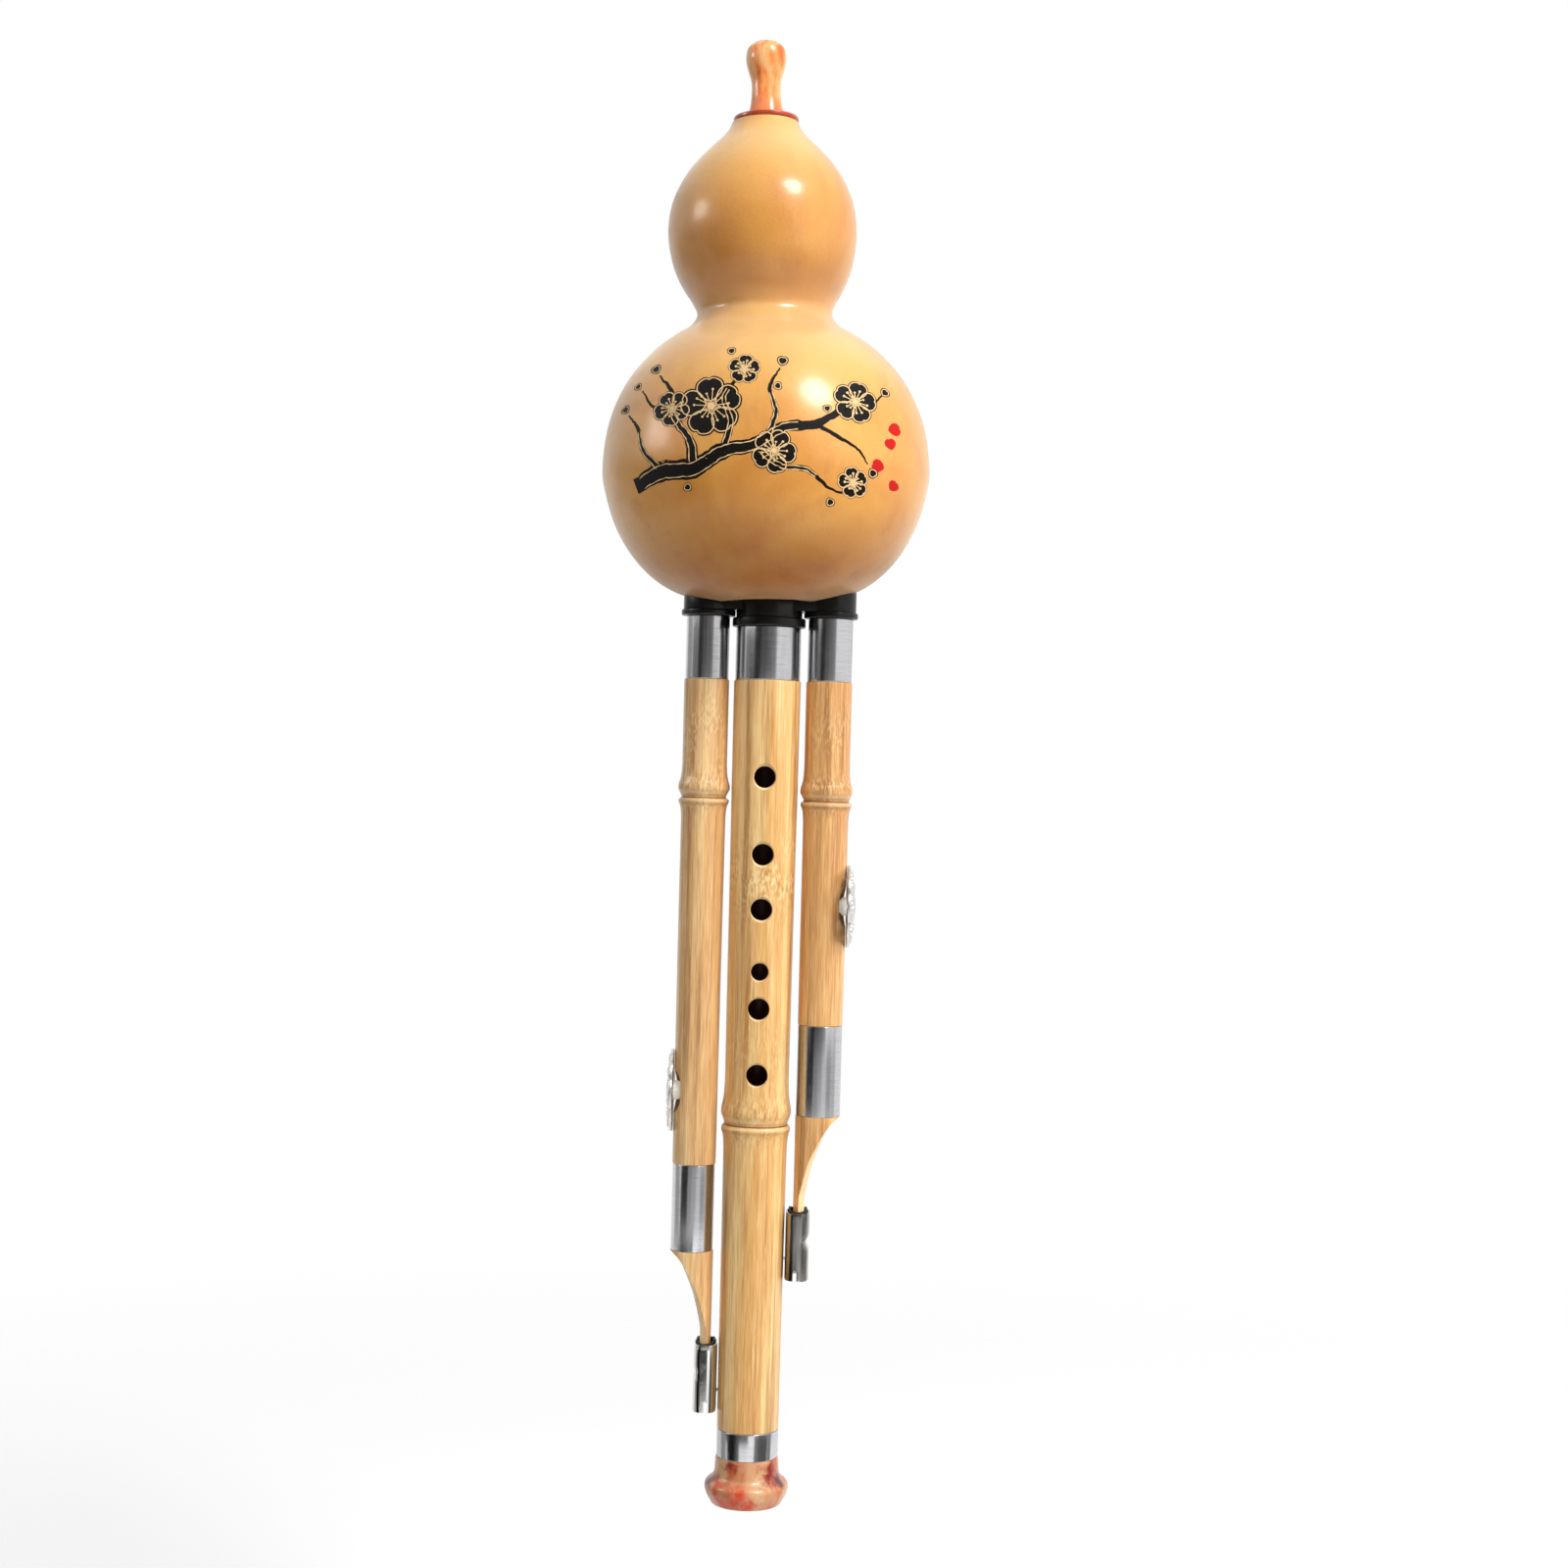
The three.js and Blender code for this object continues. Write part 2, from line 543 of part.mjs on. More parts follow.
// A drone pipe. Its outer side is +X in its own frame.
function makeSidePipe(name, side) {
  const rebate = side.ferrule.radius - side.ferrule.wall - fit;
  const outline = bambooOutline(side, rebate, side.ferrule.length);
  const tongueEnd = -side.length - side.ferrule.length - side.quill - tongueInClip;
  const shoulder = -side.length - side.ferrule.length - seat;
  const whole = [...outline.slice(0, -1), [rebate, shoulder], [side.endRadius, shoulder], [side.endRadius, tongueEnd]];
  const pipe = bambooTube(whole, side.bore, facets.side);
  return piece(name, finishes.bamboo, cut(pipe, quillCut(side), ...stopperCuts(side)));
}

function makeSideFerrule(name, side) {
  const { radius, wall, length } = side.ferrule;
  const top = -side.length - seat;
  return piece(name, finishes.steel, tube(radius, radius - wall, top - length + seat, top, facets.side));
}

function makeEndPlug(name, side) {
  const low = -side.length - side.ferrule.length + overrun;
  const radius = side.bore - fit;
  const outline = [[0, low], [radius - endPlug.taper, low], [radius, low + endPlug.length], [0, low + endPlug.length]];
  return piece(name, finishes.cork, solidOf(revolve(outline, facets.inner)));
}

// Distances of the stopper's faces from its pipe's axis, inside first.
function stopperFaces(side) {
  const washerIn = side.endRadius + side.stopper.gap;
  const washerOut = washerIn + stopperWasher.thickness;
  return { washerIn, washerOut, plateIn: washerOut + seat, plateOut: washerOut + seat + stopperPlate.thickness };
}

// A revolve about Z, laid along +X at the drone hole.
function onStopperAxis(geometry, side) {
  return geometry.rotateY(Math.PI / 2).translate(0, 0, -side.stopper.depth);
}

// The silver plate: eight scalloped lobes, pierced between a domed hub and a rim.
function makeStopperPlate(name, side) {
  const { radius, scallop, lobes, thickness, pierce, pierceShare } = stopperPlate;
  const steps = lobes * 4;
  const edge = [];
  for (let i = 0; i < steps; i += 1) {
    const turn = (i / steps) * Math.PI * 2;
    const reach = radius - scallop * (1 - Math.abs(Math.cos((turn * lobes) / 2)));
    edge.push(new THREE.Vector2(Math.cos(turn) * reach, Math.sin(turn) * reach));
  }
  const shape = new THREE.Shape(edge);
  for (let i = 0; i < lobes; i += 1) {
    const turn = (i / lobes) * Math.PI * 2;
    const hole = new THREE.Path();
    hole.absellipse(Math.cos(turn) * radius * pierceShare, Math.sin(turn) * radius * pierceShare,
      pierce, pierce / 2, 0, Math.PI * 2, true, turn);
    shape.holes.push(hole);
  }
  const faces = stopperFaces(side);
  const options = { depth: thickness, bevelEnabled: false, curveSegments: 3 };
  const plate = onStopperAxis(new THREE.ExtrudeGeometry(shape, options).translate(0, 0, faces.plateIn), side);
  const button = [[0, faces.plateOut - seat], [stopperHub.radius, faces.plateOut - seat],
    [stopperHub.crown, faces.plateOut + stopperHub.height / 2], [0, faces.plateOut + stopperHub.height]];
  const boss = onStopperAxis(revolve(button, facets.hole), side);
  return piece(name, finishes.silver, join(solidOf(plate), solidOf(boss)));
}

function makeStopperWasher(name, side) {
  const { washerIn, washerOut } = stopperFaces(side);
  const outline = [[0, washerIn], [stopperWasher.radius, washerIn], [stopperWasher.radius, washerOut], [0, washerOut]];
  return piece(name, finishes.rubber, solidOf(onStopperAxis(revolve(outline, facets.hole), side)));
}

// The cream pad: a dome on the washer, with a nipple that plugs the drone hole.
function makeStopperPad(name, side) {
  const out = stopperFaces(side).washerIn - seat;
  const dome = out - stopperPad.thickness;
  const tip = dome - stopperPad.nippleLength;
  const outline = [
    [0, tip], [stopperPad.nipple * 0.8, tip], [stopperPad.nipple, mix(tip, dome, 0.4)], [stopperPad.nipple, dome],
    [mix(stopperPad.nipple, stopperPad.radius, 0.7), mix(dome, out, 0.15)],
    [stopperPad.radius, mix(dome, out, 0.5)], [stopperPad.radius, out], [0, out],
  ];
  return piece(name, finishes.cream, solidOf(onStopperAxis(revolve(outline, facets.hole), side)));
}

// Where a clip lies in the middle pipe's frame: centred on the tongue, against the pipe's skin.
function clipPlace(side) {
  const middle = Math.abs(side.x) - tongueOf(side).middle;
  const top = sideTop - mainTop - side.length - side.ferrule.length - side.quill;
  const skinShare = (mainPipe.sleeve.length - clip.length / 2 - top) / (mainPipe.sleeve.length + mainPipe.length);
  const skin = mix(mainPipe.topRadius, mainPipe.endRadius, Math.min(skinShare, 1));
  return { middle, top, half: middle - skin - fit, pinHeight: top - clip.length * clipPin.depthShare };
}

// A level oval ring; the crimp pushes its outer side in.
function clipRing(middle, halfWidth, halfDepth, crimp, height) {
  const ring = [];
  for (let i = 0; i < facets.clip; i += 1) {
    const turn = (i / facets.clip) * Math.PI * 2;
    const across = Math.sign(Math.cos(turn)) * Math.abs(Math.cos(turn)) ** clipPower;
    const along = Math.sign(Math.sin(turn)) * Math.abs(Math.sin(turn)) ** clipPower;
    ring.push(new THREE.Vector3(middle + halfWidth * across - crimp * Math.max(across, 0), halfDepth * along, height));
  }
  return ring;
}

function clipSkin(place, inset, extra) {
  const { top, middle, half } = place;
  const levels = [
    [1, 0], [clip.crimpShare + clip.crimpWidthShare, 0], [clip.crimpShare, clip.crimp],
    [clip.crimpShare - clip.crimpWidthShare, 0], [0, 0]];
  return loft(levels.map(([down, crimp]) => {
    const past = down === 0 ? extra : down === 1 ? -extra : 0;
    return clipRing(middle, half - inset, clip.depth - inset, crimp, top - clip.length * down + past);
  }));
}

// A clip with its outer side to +X: the rolled tube, a slot at its foot and a hole for its pin.
function makeClip(name, side) {
  const place = clipPlace(side);
  const floor = place.top - clip.length;
  const slot = block(new THREE.Vector3(place.middle - clip.slot, -clip.depth - overrun, floor - overrun),
    new THREE.Vector3(place.middle, 0, floor + clip.slotLength));
  const hole = bar(clipPin.radius + fit / 2, new THREE.Vector3(0, 0, place.pinHeight),
    new THREE.Vector3(place.middle, 0, place.pinHeight), facets.pin);
  return piece(name, finishes.steel, cut(clipSkin(place, 0, 0), clipSkin(place, clip.wall, overrun), slot, hole));
}

function makeLining(name, side) {
  const { top, middle, half } = clipPlace(side);
  const skin = (inset, extra) => loft([-lining.length - extra, extra - seat].map((height) => clipRing(
    middle, half - inset, clip.depth - inset, 0, top + height)));
  const outer = clip.wall + fit;
  return piece(name, finishes.rubber, cut(skin(outer, 0), skin(outer + lining.thickness, overrun)));
}

// The nail: its head inside the clip, its shank in the bamboo's wall.
function makeClipPin(name, side) {
  const { middle, half, pinHeight } = clipPlace(side);
  const inner = middle - half + clip.wall + seat;
  const point = inner - clip.wall - fit - clipPin.reach;
  const outline = [
    [0, point], [clipPin.radius, point + clipPin.radius], [clipPin.radius, inner],
    [clipPin.headRadius, inner], [clipPin.headRadius, inner + clipPin.head], [0, inner + clipPin.head]];
  const geometry = revolve(outline, facets.pin).rotateY(Math.PI / 2).translate(0, 0, pinHeight);
  return piece(name, finishes.steel, solidOf(geometry));
}

function makeFootFerrule() {
  const { radius, wall, length } = footFerrule;
  const top = -mainPipe.length - seat;
  return piece('foot_ferrule', finishes.steel, tube(radius, radius - wall, top - length + seat, top, facets.main));
}

// The foot bell: a spigot in the bamboo, a straight neck, a quick flare and a rounded rim.
function makeBell() {
  const top = -mainPipe.length - footFerrule.length - seat;
  const skin = bellShares.map(([down, rise]) => [mix(bell.neck, bell.rim, rise), top - bell.height * down]);
  const throat = bellThroatShares.map(([down, rise]) => [mix(bell.bore, bell.mouth, rise), top - bell.height * down]);
  const outline = [
    [bell.bore, top + bell.spigot], [bell.spigotRadius, top + bell.spigot], [bell.spigotRadius, top],
    [bell.neck, top], ...skin, [bell.mouth, top - bell.height], ...throat,
  ];
  return piece('foot_bell', finishes.resin, solidOf(revolveRing(outline, facets.main)));
}

// The reed, its cap, the tenon, the seal and the sleeve at the top of a pipe.
function pipeHead(name, pipe, sides) {
  return [
    makeSleeve(`${name}_sleeve`, pipe, sides), makeTenon(`${name}_tenon`, pipe), makeSeal(`${name}_seal`, pipe),
    makeReed(`${name}_reed`, pipe), makeReedCap(`${name}_reed_cap`, pipe)];
}

// A clip's pieces, turned half round for the left.
function clipSet(name, side) {
  const set = new THREE.Group();
  set.rotation.z = side.x < 0 ? Math.PI : 0;
  set.add(makeClip(`${name}_clip`, side), makeLining(`${name}_clip_lining`, side), makeClipPin(`${name}_clip_pin`, side));
  return set;
}

function makeHead() {
  const head = new THREE.Group();
  head.applyMatrix4(headFrame);
  head.add(makeGourd(), makeMouthpiece(), makeCork());
  return head;
}

function makeMainAssembly() {
  const assembly = new THREE.Group();
  assembly.position.set(mainPipe.x, 0, mainTop);
  assembly.add(makeCollar('main_collar', mainPipe, mainTop), ...pipeHead('main', mainPipe, facets.main),
    makeMainPipe(), makeFootFerrule(), makeBell(), clipSet('left', leftPipe), clipSet('right', rightPipe));
  return assembly;
}

function makeSideAssembly(name, side) {
  const assembly = new THREE.Group();
  assembly.position.set(side.x, 0, sideTop);
  assembly.rotation.z = side.x < 0 ? Math.PI : 0;
  assembly.add(makeCollar(`${name}_collar`, side, sideTop), ...pipeHead(name, side, facets.side),
    makeSidePipe(`${name}_pipe`, side), makeSideFerrule(`${name}_ferrule`, side), makeEndPlug(`${name}_end_plug`, side),
    makeStopperPlate(`${name}_stopper_plate`, side), makeStopperWasher(`${name}_stopper_washer`, side),
    makeStopperPad(`${name}_stopper_pad`, side));
  return assembly;
}

const hulusi = new THREE.Group();
hulusi.add(makeHead(), makeSaddle(), makeMainAssembly(), makeSideAssembly('left', leftPipe), makeSideAssembly('right', rightPipe));

export default hulusi;
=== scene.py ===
"""Looks of a hulusi, the gourd flute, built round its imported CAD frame.

Sizes are millimetres in the frame's axes until a mesh becomes an object, which is in metres. Each
sub-assembly is a class: its fields are the sizes, its methods build the pieces and dress them.
"""
import functools
import logging
import math
from collections.abc import Callable, Iterable, Sequence
from dataclasses import dataclass, field
from enum import Enum
from typing import Any

import bpy
import numpy as np
from mathutils import Matrix, Vector
from mathutils.bvhtree import BVHTree


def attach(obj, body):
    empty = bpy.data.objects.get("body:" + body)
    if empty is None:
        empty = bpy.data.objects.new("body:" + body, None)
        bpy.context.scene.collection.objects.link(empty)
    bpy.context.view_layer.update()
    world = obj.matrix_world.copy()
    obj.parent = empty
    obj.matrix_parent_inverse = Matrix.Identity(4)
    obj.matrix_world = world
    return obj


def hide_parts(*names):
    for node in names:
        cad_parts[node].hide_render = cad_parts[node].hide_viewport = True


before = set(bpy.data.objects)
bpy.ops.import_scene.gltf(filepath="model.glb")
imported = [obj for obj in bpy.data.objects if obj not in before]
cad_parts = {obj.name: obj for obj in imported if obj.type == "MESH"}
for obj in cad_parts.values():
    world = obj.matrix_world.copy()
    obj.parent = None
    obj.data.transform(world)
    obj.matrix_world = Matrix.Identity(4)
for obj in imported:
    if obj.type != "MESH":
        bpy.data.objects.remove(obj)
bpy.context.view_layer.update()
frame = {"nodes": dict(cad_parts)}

log = logging.getLogger("hulusi")

# one millimetre in metres, and one metre in millimetres
MM = 0.001
IN_MM = 1000.0
# the play between pieces that slide, the gap between pieces at rest, and what counts as nothing
FIT = 0.3
SEAT = 0.05
NEAR = 1e-6

Pair = tuple[float, float]
Point = tuple[float, float, float]
Colour = tuple[float, float, float, float]
Outline = list[Pair]
Rows = Sequence[Sequence[float]]
Values = dict[int | str, Any]
Thing = bpy.types.Object


class Side(Enum):
    """Which side of the middle pipe a drone pipe hangs on."""

    LEFT = "left"
    RIGHT = "right"

    @property
    def turn(self) -> float:
        """The half turn about Z that faces a right-hand form to this side."""
        return math.pi if self is Side.LEFT else 0.0


class Body(Enum):
    """The frame's moving bodies."""

    CHAMBER = "wind_chamber"
    MAIN = "main_pipe_body"
    LEFT = "left_pipe_body"
    RIGHT = "right_pipe_body"
    LEFT_STOPPER = "left_stopper"
    RIGHT_STOPPER = "right_stopper"


class Slot(Enum):
    """The record's material slots. Some pieces list theirs beside their finish, but nothing reads it."""

    GOURD = "gourd"
    BAMBOO = "bamboo"
    RESIN = "resin"
    BLACK = "black"
    STEEL = "steel"
    SILVER = "silver"
    IVORY = "ivory"
    CREAM = "cream"
    RUBBER = "rubber"


def tint(red: float, green: float, blue: float) -> Colour:
    """Turns a colour read off a screen, 0 to 255, into Blender's linear colour.

    Args:
        red: Red, 0 to 255.
        green: Green, 0 to 255.
        blue: Blue, 0 to 255.

    Returns:
        Linear red, green, blue and an alpha of 1.
    """
    def linear(value: float) -> float:
        """Undoes the screen's curve for one channel."""
        share = value / 255
        return share / 12.92 if share <= 0.04045 else ((share + 0.055) / 1.055) ** 2.4
    return (linear(red), linear(green), linear(blue), 1.0)


def operator(operation: str, swapped: bool = False) -> Callable[["Socket", Any], "Socket"]:
    """Makes the method behind an operator of Socket.

    Args:
        operation: The Math node's operation.
        swapped: Whether it is the reflected form, with the socket on the right.

    Returns:
        The method.
    """
    def method(self: "Socket", other: Any) -> "Socket":
        """Adds the operator's Math node."""
        return self.maths(operation, *((other, self) if swapped else (self, other)))
    return method


class Socket:
    """One output of a node, so that node maths is written as Python expressions."""

    __add__ = __radd__ = operator("ADD")
    __mul__ = __rmul__ = operator("MULTIPLY")
    __sub__, __rsub__ = operator("SUBTRACT"), operator("SUBTRACT", True)
    __truediv__, __rtruediv__ = operator("DIVIDE"), operator("DIVIDE", True)
    __pow__, __rpow__ = operator("POWER"), operator("POWER", True)
    __gt__, __lt__ = operator("GREATER_THAN"), operator("LESS_THAN")

    def __init__(self, web: "Web", link: bpy.types.NodeSocket) -> None:
        """Keeps the tree the socket belongs to and the socket itself."""
        self.web = web
        self.link = link

    def maths(self, operation: str, *values: Any) -> "Socket":
        """Adds one Math node with these values or sockets as its inputs."""
        return self.web.node("ShaderNodeMath", {"operation": operation}, dict(enumerate(values)))

    def __abs__(self) -> "Socket":
        """Drops the sign."""
        return self.maths("ABSOLUTE", self)

    def ramp(self, low: float, high: float) -> "Socket":
        """Rises smoothly from 0 at low to 1 at high, or falls where low is the greater.

        Args:
            low: Value at which the result is 0.
            high: Value at which the result is 1.

        Returns:
            The smoothed share.
        """
        down = low > high
        bounds = (high, low) if down else (low, high)
        eased = self.web.node("ShaderNodeMapRange", {"interpolation_type": "SMOOTHSTEP"},
                              {0: self, 1: bounds[0], 2: bounds[1]})
        return 1 - eased if down else eased

    def hump(self, middle: float, reach: float) -> "Socket":
        """A bell of height 1 round a middle, down to a third at the reach."""
        away = (self - middle) / reach
        return math.e ** (away * away * -1.0)

    def parts(self) -> tuple["Socket", "Socket", "Socket"]:
        """Splits a vector into x, y and z."""
        split = self.web.add("ShaderNodeSeparateXYZ", {}, {0: self})
        return tuple(Socket(self.web, output) for output in split.outputs)

    def scaled(self, x: float, y: float, z: float) -> "Socket":
        """Stretches a vector by a factor along each axis."""
        return self.web.node("ShaderNodeVectorMath", {"operation": "MULTIPLY"}, {0: self, 1: (x, y, z)})

    def shifted(self, x: float, y: float, z: float) -> "Socket":
        """Moves a vector."""
        return self.web.node("ShaderNodeVectorMath", {"operation": "ADD"}, {0: self, 1: (x, y, z)})


class Web:
    """A node tree in the making, for a material or for Geometry Nodes."""

    def __init__(self, tree: bpy.types.NodeTree) -> None:
        """Starts from an empty tree."""
        self.tree = tree
        tree.nodes.clear()

    def add(self, kind: str, settings: dict[str, Any] | None = None, sockets: Values | None = None) -> bpy.types.Node:
        """Adds a node: its settings first, then its sockets.

        Args:
            kind: The node's type.
            settings: Its properties. "curve" stands for a float curve's points.
            sockets: Values or links for its inputs, by name or by place.

        Returns:
            The node.
        """
        node = self.tree.nodes.new(kind)
        for name, value in (settings or {}).items():
            if name == "curve":
                points = node.mapping.curves[0].points
                while len(points) < len(value):
                    points.new(0.5, 0.5)
                for point, place in zip(points, value):
                    point.location, point.handle_type = place, "AUTO_CLAMPED"
                node.mapping.update()
            else:
                setattr(node, name, value)
        for name, value in (sockets or {}).items():
            if isinstance(value, Socket):
                self.tree.links.new(value.link, node.inputs[name])
            elif value is not None:
                node.inputs[name].default_value = value
        return node

    def node(self, kind: str, settings: dict[str, Any] | None = None, sockets: Values | None = None,
             out: int | str = 0) -> Socket:
        """Adds a node as add() does, and gives one of its outputs."""
        return Socket(self, self.add(kind, settings, sockets).outputs[out])

    def place(self) -> Socket:
        """Where a point of the piece is, in metres, in the frame's axes."""
        return self.node("ShaderNodeTexCoord", out="Object")

    def noise(self, where: Socket, scale: float, detail: float = 3.0, roughness: float = 0.55,
              distortion: float = 0.0) -> Socket:
        """Cloudy noise from 0 to 1: clouds per metre, finer layers, how strong they are, and how far it swirls."""
        return self.node("ShaderNodeTexNoise", {}, {"Vector": where, "Scale": scale, "Detail": detail,
                                                   "Roughness": roughness, "Distortion": distortion})

    def mix(self, share: Any, first: Any, second: Any, blend: str = "MIX") -> Socket:
        """Lays a share of the second colour on the first."""
        return self.node("ShaderNodeMix", {"data_type": "RGBA", "blend_type": blend},
                         {0: share, 6: first, 7: second}, out=2)

    def bump(self, height: Socket, distance: float, strength: float = 1.0, under: Socket | None = None) -> Socket:
        """Turns heights from 0 to 1 into a relief of a depth in millimetres, on another relief if one is given."""
        return self.node("ShaderNodeBump", {}, {"Height": height, "Distance": distance * MM, "Strength": strength,
                                                "Normal": under})

    def surface(self, **sockets: Any) -> None:
        """Ends a material: a surface with these sockets, where "_" stands for a space in a name."""
        named = {name.replace("_", " "): value for name, value in sockets.items()}
        shader = self.node("ShaderNodeBsdfPrincipled", {}, named)
        self.add("ShaderNodeOutputMaterial", {}, {"Surface": shader})


def new_material(name: str) -> tuple[bpy.types.Material, Web]:
    """Makes an empty material, and gives it with its node tree."""
    made = bpy.data.materials.new(name)
    made.use_nodes = True
    return made, Web(made.node_tree)


@dataclass(frozen=True)
class Finish:
    """A procedural finish. Its paint method draws the nodes."""

    name: str

    def paint(self, web: Web) -> None:
        """Draws the nodes of this finish."""
        raise NotImplementedError

    def material(self) -> bpy.types.Material:
        """The finish as a material, made once."""
        known = bpy.data.materials.get("finish_" + self.name)
        if known:
            return known
        made, web = new_material("finish_" + self.name)
        self.paint(web)
        return made


@dataclass(frozen=True)
class GourdLacquer(Finish):
    """Honey-coloured calabash under clear lacquer, browner at its neck, waist and underside, partly its own tone and
    partly painted shade, and paler over the tops of its bulbs with painted light from above.

    Heights are over the waist. A pair of them is where a change starts and where it is full.
    """

    pale: Colour = tint(224, 160, 66)
    honey: Colour = tint(204, 128, 34)
    amber: Colour = tint(180, 100, 18)
    brown: Colour = tint(138, 66, 2)
    # painted light: the pale tint of the bulbs' tops, as lit from above
    painted_light_tint: Colour = tint(250, 212, 150)
    bloom: Colour = tint(255, 236, 206)
    crown: float = 26.0
    # painted shade, partly the gourd's own tone: darker over the waist, at the neck and on the underside
    over_waist: float = 7.0
    # painted light from above: paler under the waist, at the shoulder and upwards from low on the belly
    under_waist: float = -9.0
    shoulder: float = 50.0
    neck: Pair = (52.0, 60.0)
    underside: Pair = (-52.0, -82.0)
    dull: Pair = (-62.0, -84.0)
    painted_light_rise: Pair = (-78.0, -40.0)
    gloss: float = 0.65

    def paint(self, web: Web) -> None:
        """Draws the nodes of this finish."""
        place = web.place()
        height = place.parts()[2] * IN_MM
        cloud = web.noise(place, 26, 3, 0.5, 0.6)
        mottle = web.noise(place.scaled(1, 1, 0.6), 120, 4, 0.6)
        flecks = web.noise(place, 900, 3, 0.6)
        colour = web.mix(cloud.ramp(0.36, 0.68), self.pale, self.honey)
        colour = web.mix(mottle.ramp(0.5, 0.8) * 0.45, colour, self.amber)
        colour = web.mix(height.hump(self.crown, 16) * 0.35 * (0.7 + 0.5 * cloud), colour, self.amber)
        # painted shade, partly the gourd's own browner tone: under the upper bulb, at the neck and on the underside
        dark = height.hump(self.over_waist, 10) * 0.5 + height.ramp(*self.neck) * 0.15
        dark = (dark + height.ramp(*self.underside) * 0.6) * (0.75 + 0.5 * mottle)
        colour = web.mix(dark, colour, self.brown)
        colour = web.mix(flecks.ramp(0.6, 0.78) * 0.35, colour, self.amber)
        colour = web.mix(web.noise(place, 2600, 2).ramp(0.66, 0.74) * 0.3, colour, self.brown)
        # painted light from above: paler over the lower bulb's top, the shoulder and all but the lowest belly
        painted_top_light = height.hump(self.under_waist, 12) * 0.4 + height.hump(self.shoulder, 9) * 0.3
        colour = web.mix(painted_top_light + height.ramp(*self.painted_light_rise) * 0.08, colour, self.painted_light_tint)
        relief = web.bump(web.noise(place, 900, 4, 0.66), 0.11)
        relief = web.bump(web.noise(place, 2100, 2), 0.03, 0.8, relief)
        relief = web.bump(web.noise(place, 70, 2), 0.4, 0.6, relief)
        web.surface(Base_Color=colour, Roughness=0.36 + 0.14 * flecks, Normal=relief,
                    Coat_Weight=self.gloss - height.ramp(*self.dull) * 0.5, Coat_Roughness=0.21,
                    Specular_IOR_Level=0.3, Sheen_Weight=0.5, Sheen_Roughness=0.4, Sheen_Tint=self.bloom)


